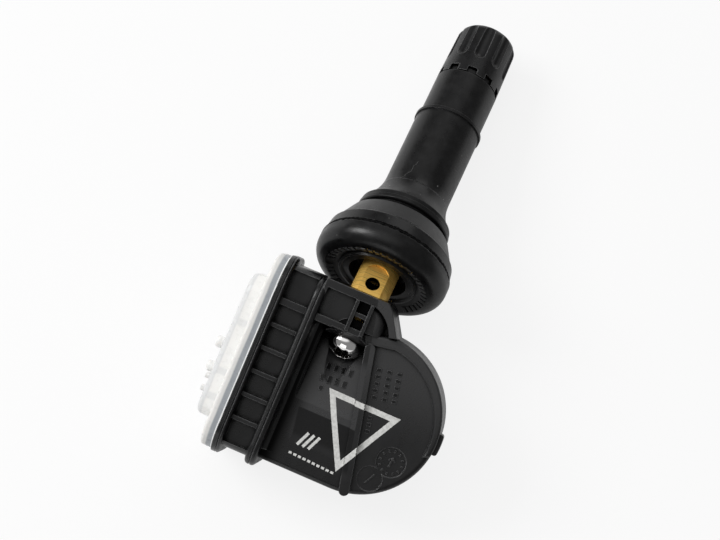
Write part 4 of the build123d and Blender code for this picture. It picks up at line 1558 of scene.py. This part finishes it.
@dataclass
class Studio:
    """Pale floor, soft lamps and the camera."""

    floor_half: float = 1500.0
    floor_colour: Triple = (0.93, 0.93, 0.93)
    floor_cloud: Cloud = even(0.0008)
    floor_share: float = 0.99
    floor_roughness: float = 0.9
    floor_white: float = 0.84
    floor_gloss: float = 0.25
    sky_from: Triple = (-0.38, 0.12, 0.92)
    sky_fade: Pair = (0.68, 0.96)
    sky_dim: float = 0.22
    sky_bright: float = 0.95
    lamps: tuple[Lamp, ...] = (
        Lamp("key_lamp", (-420.0, 10.0, 340.0), 240.0, 1.75),
        Lamp("back_lamp", (20.0, 430.0, 170.0), 260.0, 0.25),
        Lamp("front_lamp", (-40.0, -380.0, 100.0), 180.0, 0.12),
    )
    camera_place: Triple = (22.672, -98.736, 294.589)
    camera_aim: Triple = (-1.931, -7.871, 9.741)
    camera_roll: float = 8.552
    camera_lens: float = 108.0
    camera_film: float = 36.0
    camera_near: float = 10.0

    def build_floor(self) -> None:
        """White floor under the sensor, which keeps the shadow."""
        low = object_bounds()[0].z
        mesh = bmesh.new()
        bmesh.ops.create_grid(mesh, x_segments=1, y_segments=1, size=self.floor_half * MM)
        floor = solid_from("floor", mesh)
        floor.location.z = low
        sheet = Sheet("floor_white", Space(Vector(), 0.0))
        pale = shaded(self.floor_colour, self.floor_share)
        colour = sheet.blend(sheet.noise(self.floor_cloud), pale, self.floor_colour)
        sheet.shade(Base_Color=colour, Roughness=self.floor_roughness, Specular_IOR_Level=0.0)
        path = sheet.node("LightPath", {}).outputs
        mirrored = sheet.most(path["Is Glossy Ray"], path["Is Transmission Ray"])
        seen = sheet.times(path["Is Camera Ray"], self.floor_white)
        factor = sheet.most(seen, sheet.times(mirrored, self.floor_gloss))
        white = sheet.node("Emission", {"Color": WHITE, "Strength": 1.0})
        both = sheet.node("MixShader", {0: factor, 1: sheet.shader.outputs[0], 2: white.outputs[0]})
        sheet.put(sheet.output.inputs["Surface"], both.outputs[0])
        floor.data.materials.append(sheet.material)
        floor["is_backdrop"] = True

    def build_sky(self) -> None:
        """World that is white to the camera and brightest on one side overhead for the sensor."""
        world = bpy.data.worlds.new("sky")
        world.use_nodes = True
        sky = Nodes(world.node_tree)
        toward = sky.dot(sky.node("TexCoord", {}).outputs["Generated"], Vector(self.sky_from).normalized())
        light = sky.between(toward, self.sky_fade, (self.sky_dim, self.sky_bright))
        strength = sky.most(light, sky.node("LightPath", {}).outputs["Is Camera Ray"])
        background = sky.node("Background", {"Color": WHITE, "Strength": strength})
        sky.node("OutputWorld", {"Surface": background.outputs["Background"]})
        bpy.context.scene.world = world

    def build_camera(self) -> None:
        """Camera at the angle of the photograph."""
        data = bpy.data.cameras.new("camera")
        data.lens, data.sensor_width = self.camera_lens, self.camera_film
        data.clip_start = self.camera_near * MM
        camera = linked("camera", data)
        place, aim = Vector(self.camera_place) * MM, Vector(self.camera_aim) * MM
        look = (aim - place).to_track_quat("-Z", "Y").to_matrix()
        turn = look @ Matrix.Rotation(math.radians(self.camera_roll), 3, "Z")
        camera.matrix_world = Matrix.Translation(place) @ turn.to_4x4()
        bpy.context.scene.camera = camera

    def build(self) -> None:
        """Sets up the floor, the light and the camera."""
        bpy.context.scene.view_settings.view_transform = "Standard"
        self.build_floor()
        self.build_sky()
        for lamp in self.lamps:
            lamp.hang(Vector(self.camera_aim) * MM)
        self.build_camera()


def corners(box: tuple[Vector, Vector]) -> list[list[float]]:
    """Lowest and highest corner of a box as plain lists."""
    return [list(corner) for corner in box]


def main() -> None:
    """Builds the looks of the sensor."""
    logging.basicConfig(level=logging.INFO, format="%(message)s")
    frame = SensorFrame(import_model())
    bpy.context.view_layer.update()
    for part in (Housing, Cover, Electronics, Valve, Cap, Screw):
        part(frame).build()
    Studio().build()


if __name__ == "__main__":
    main()
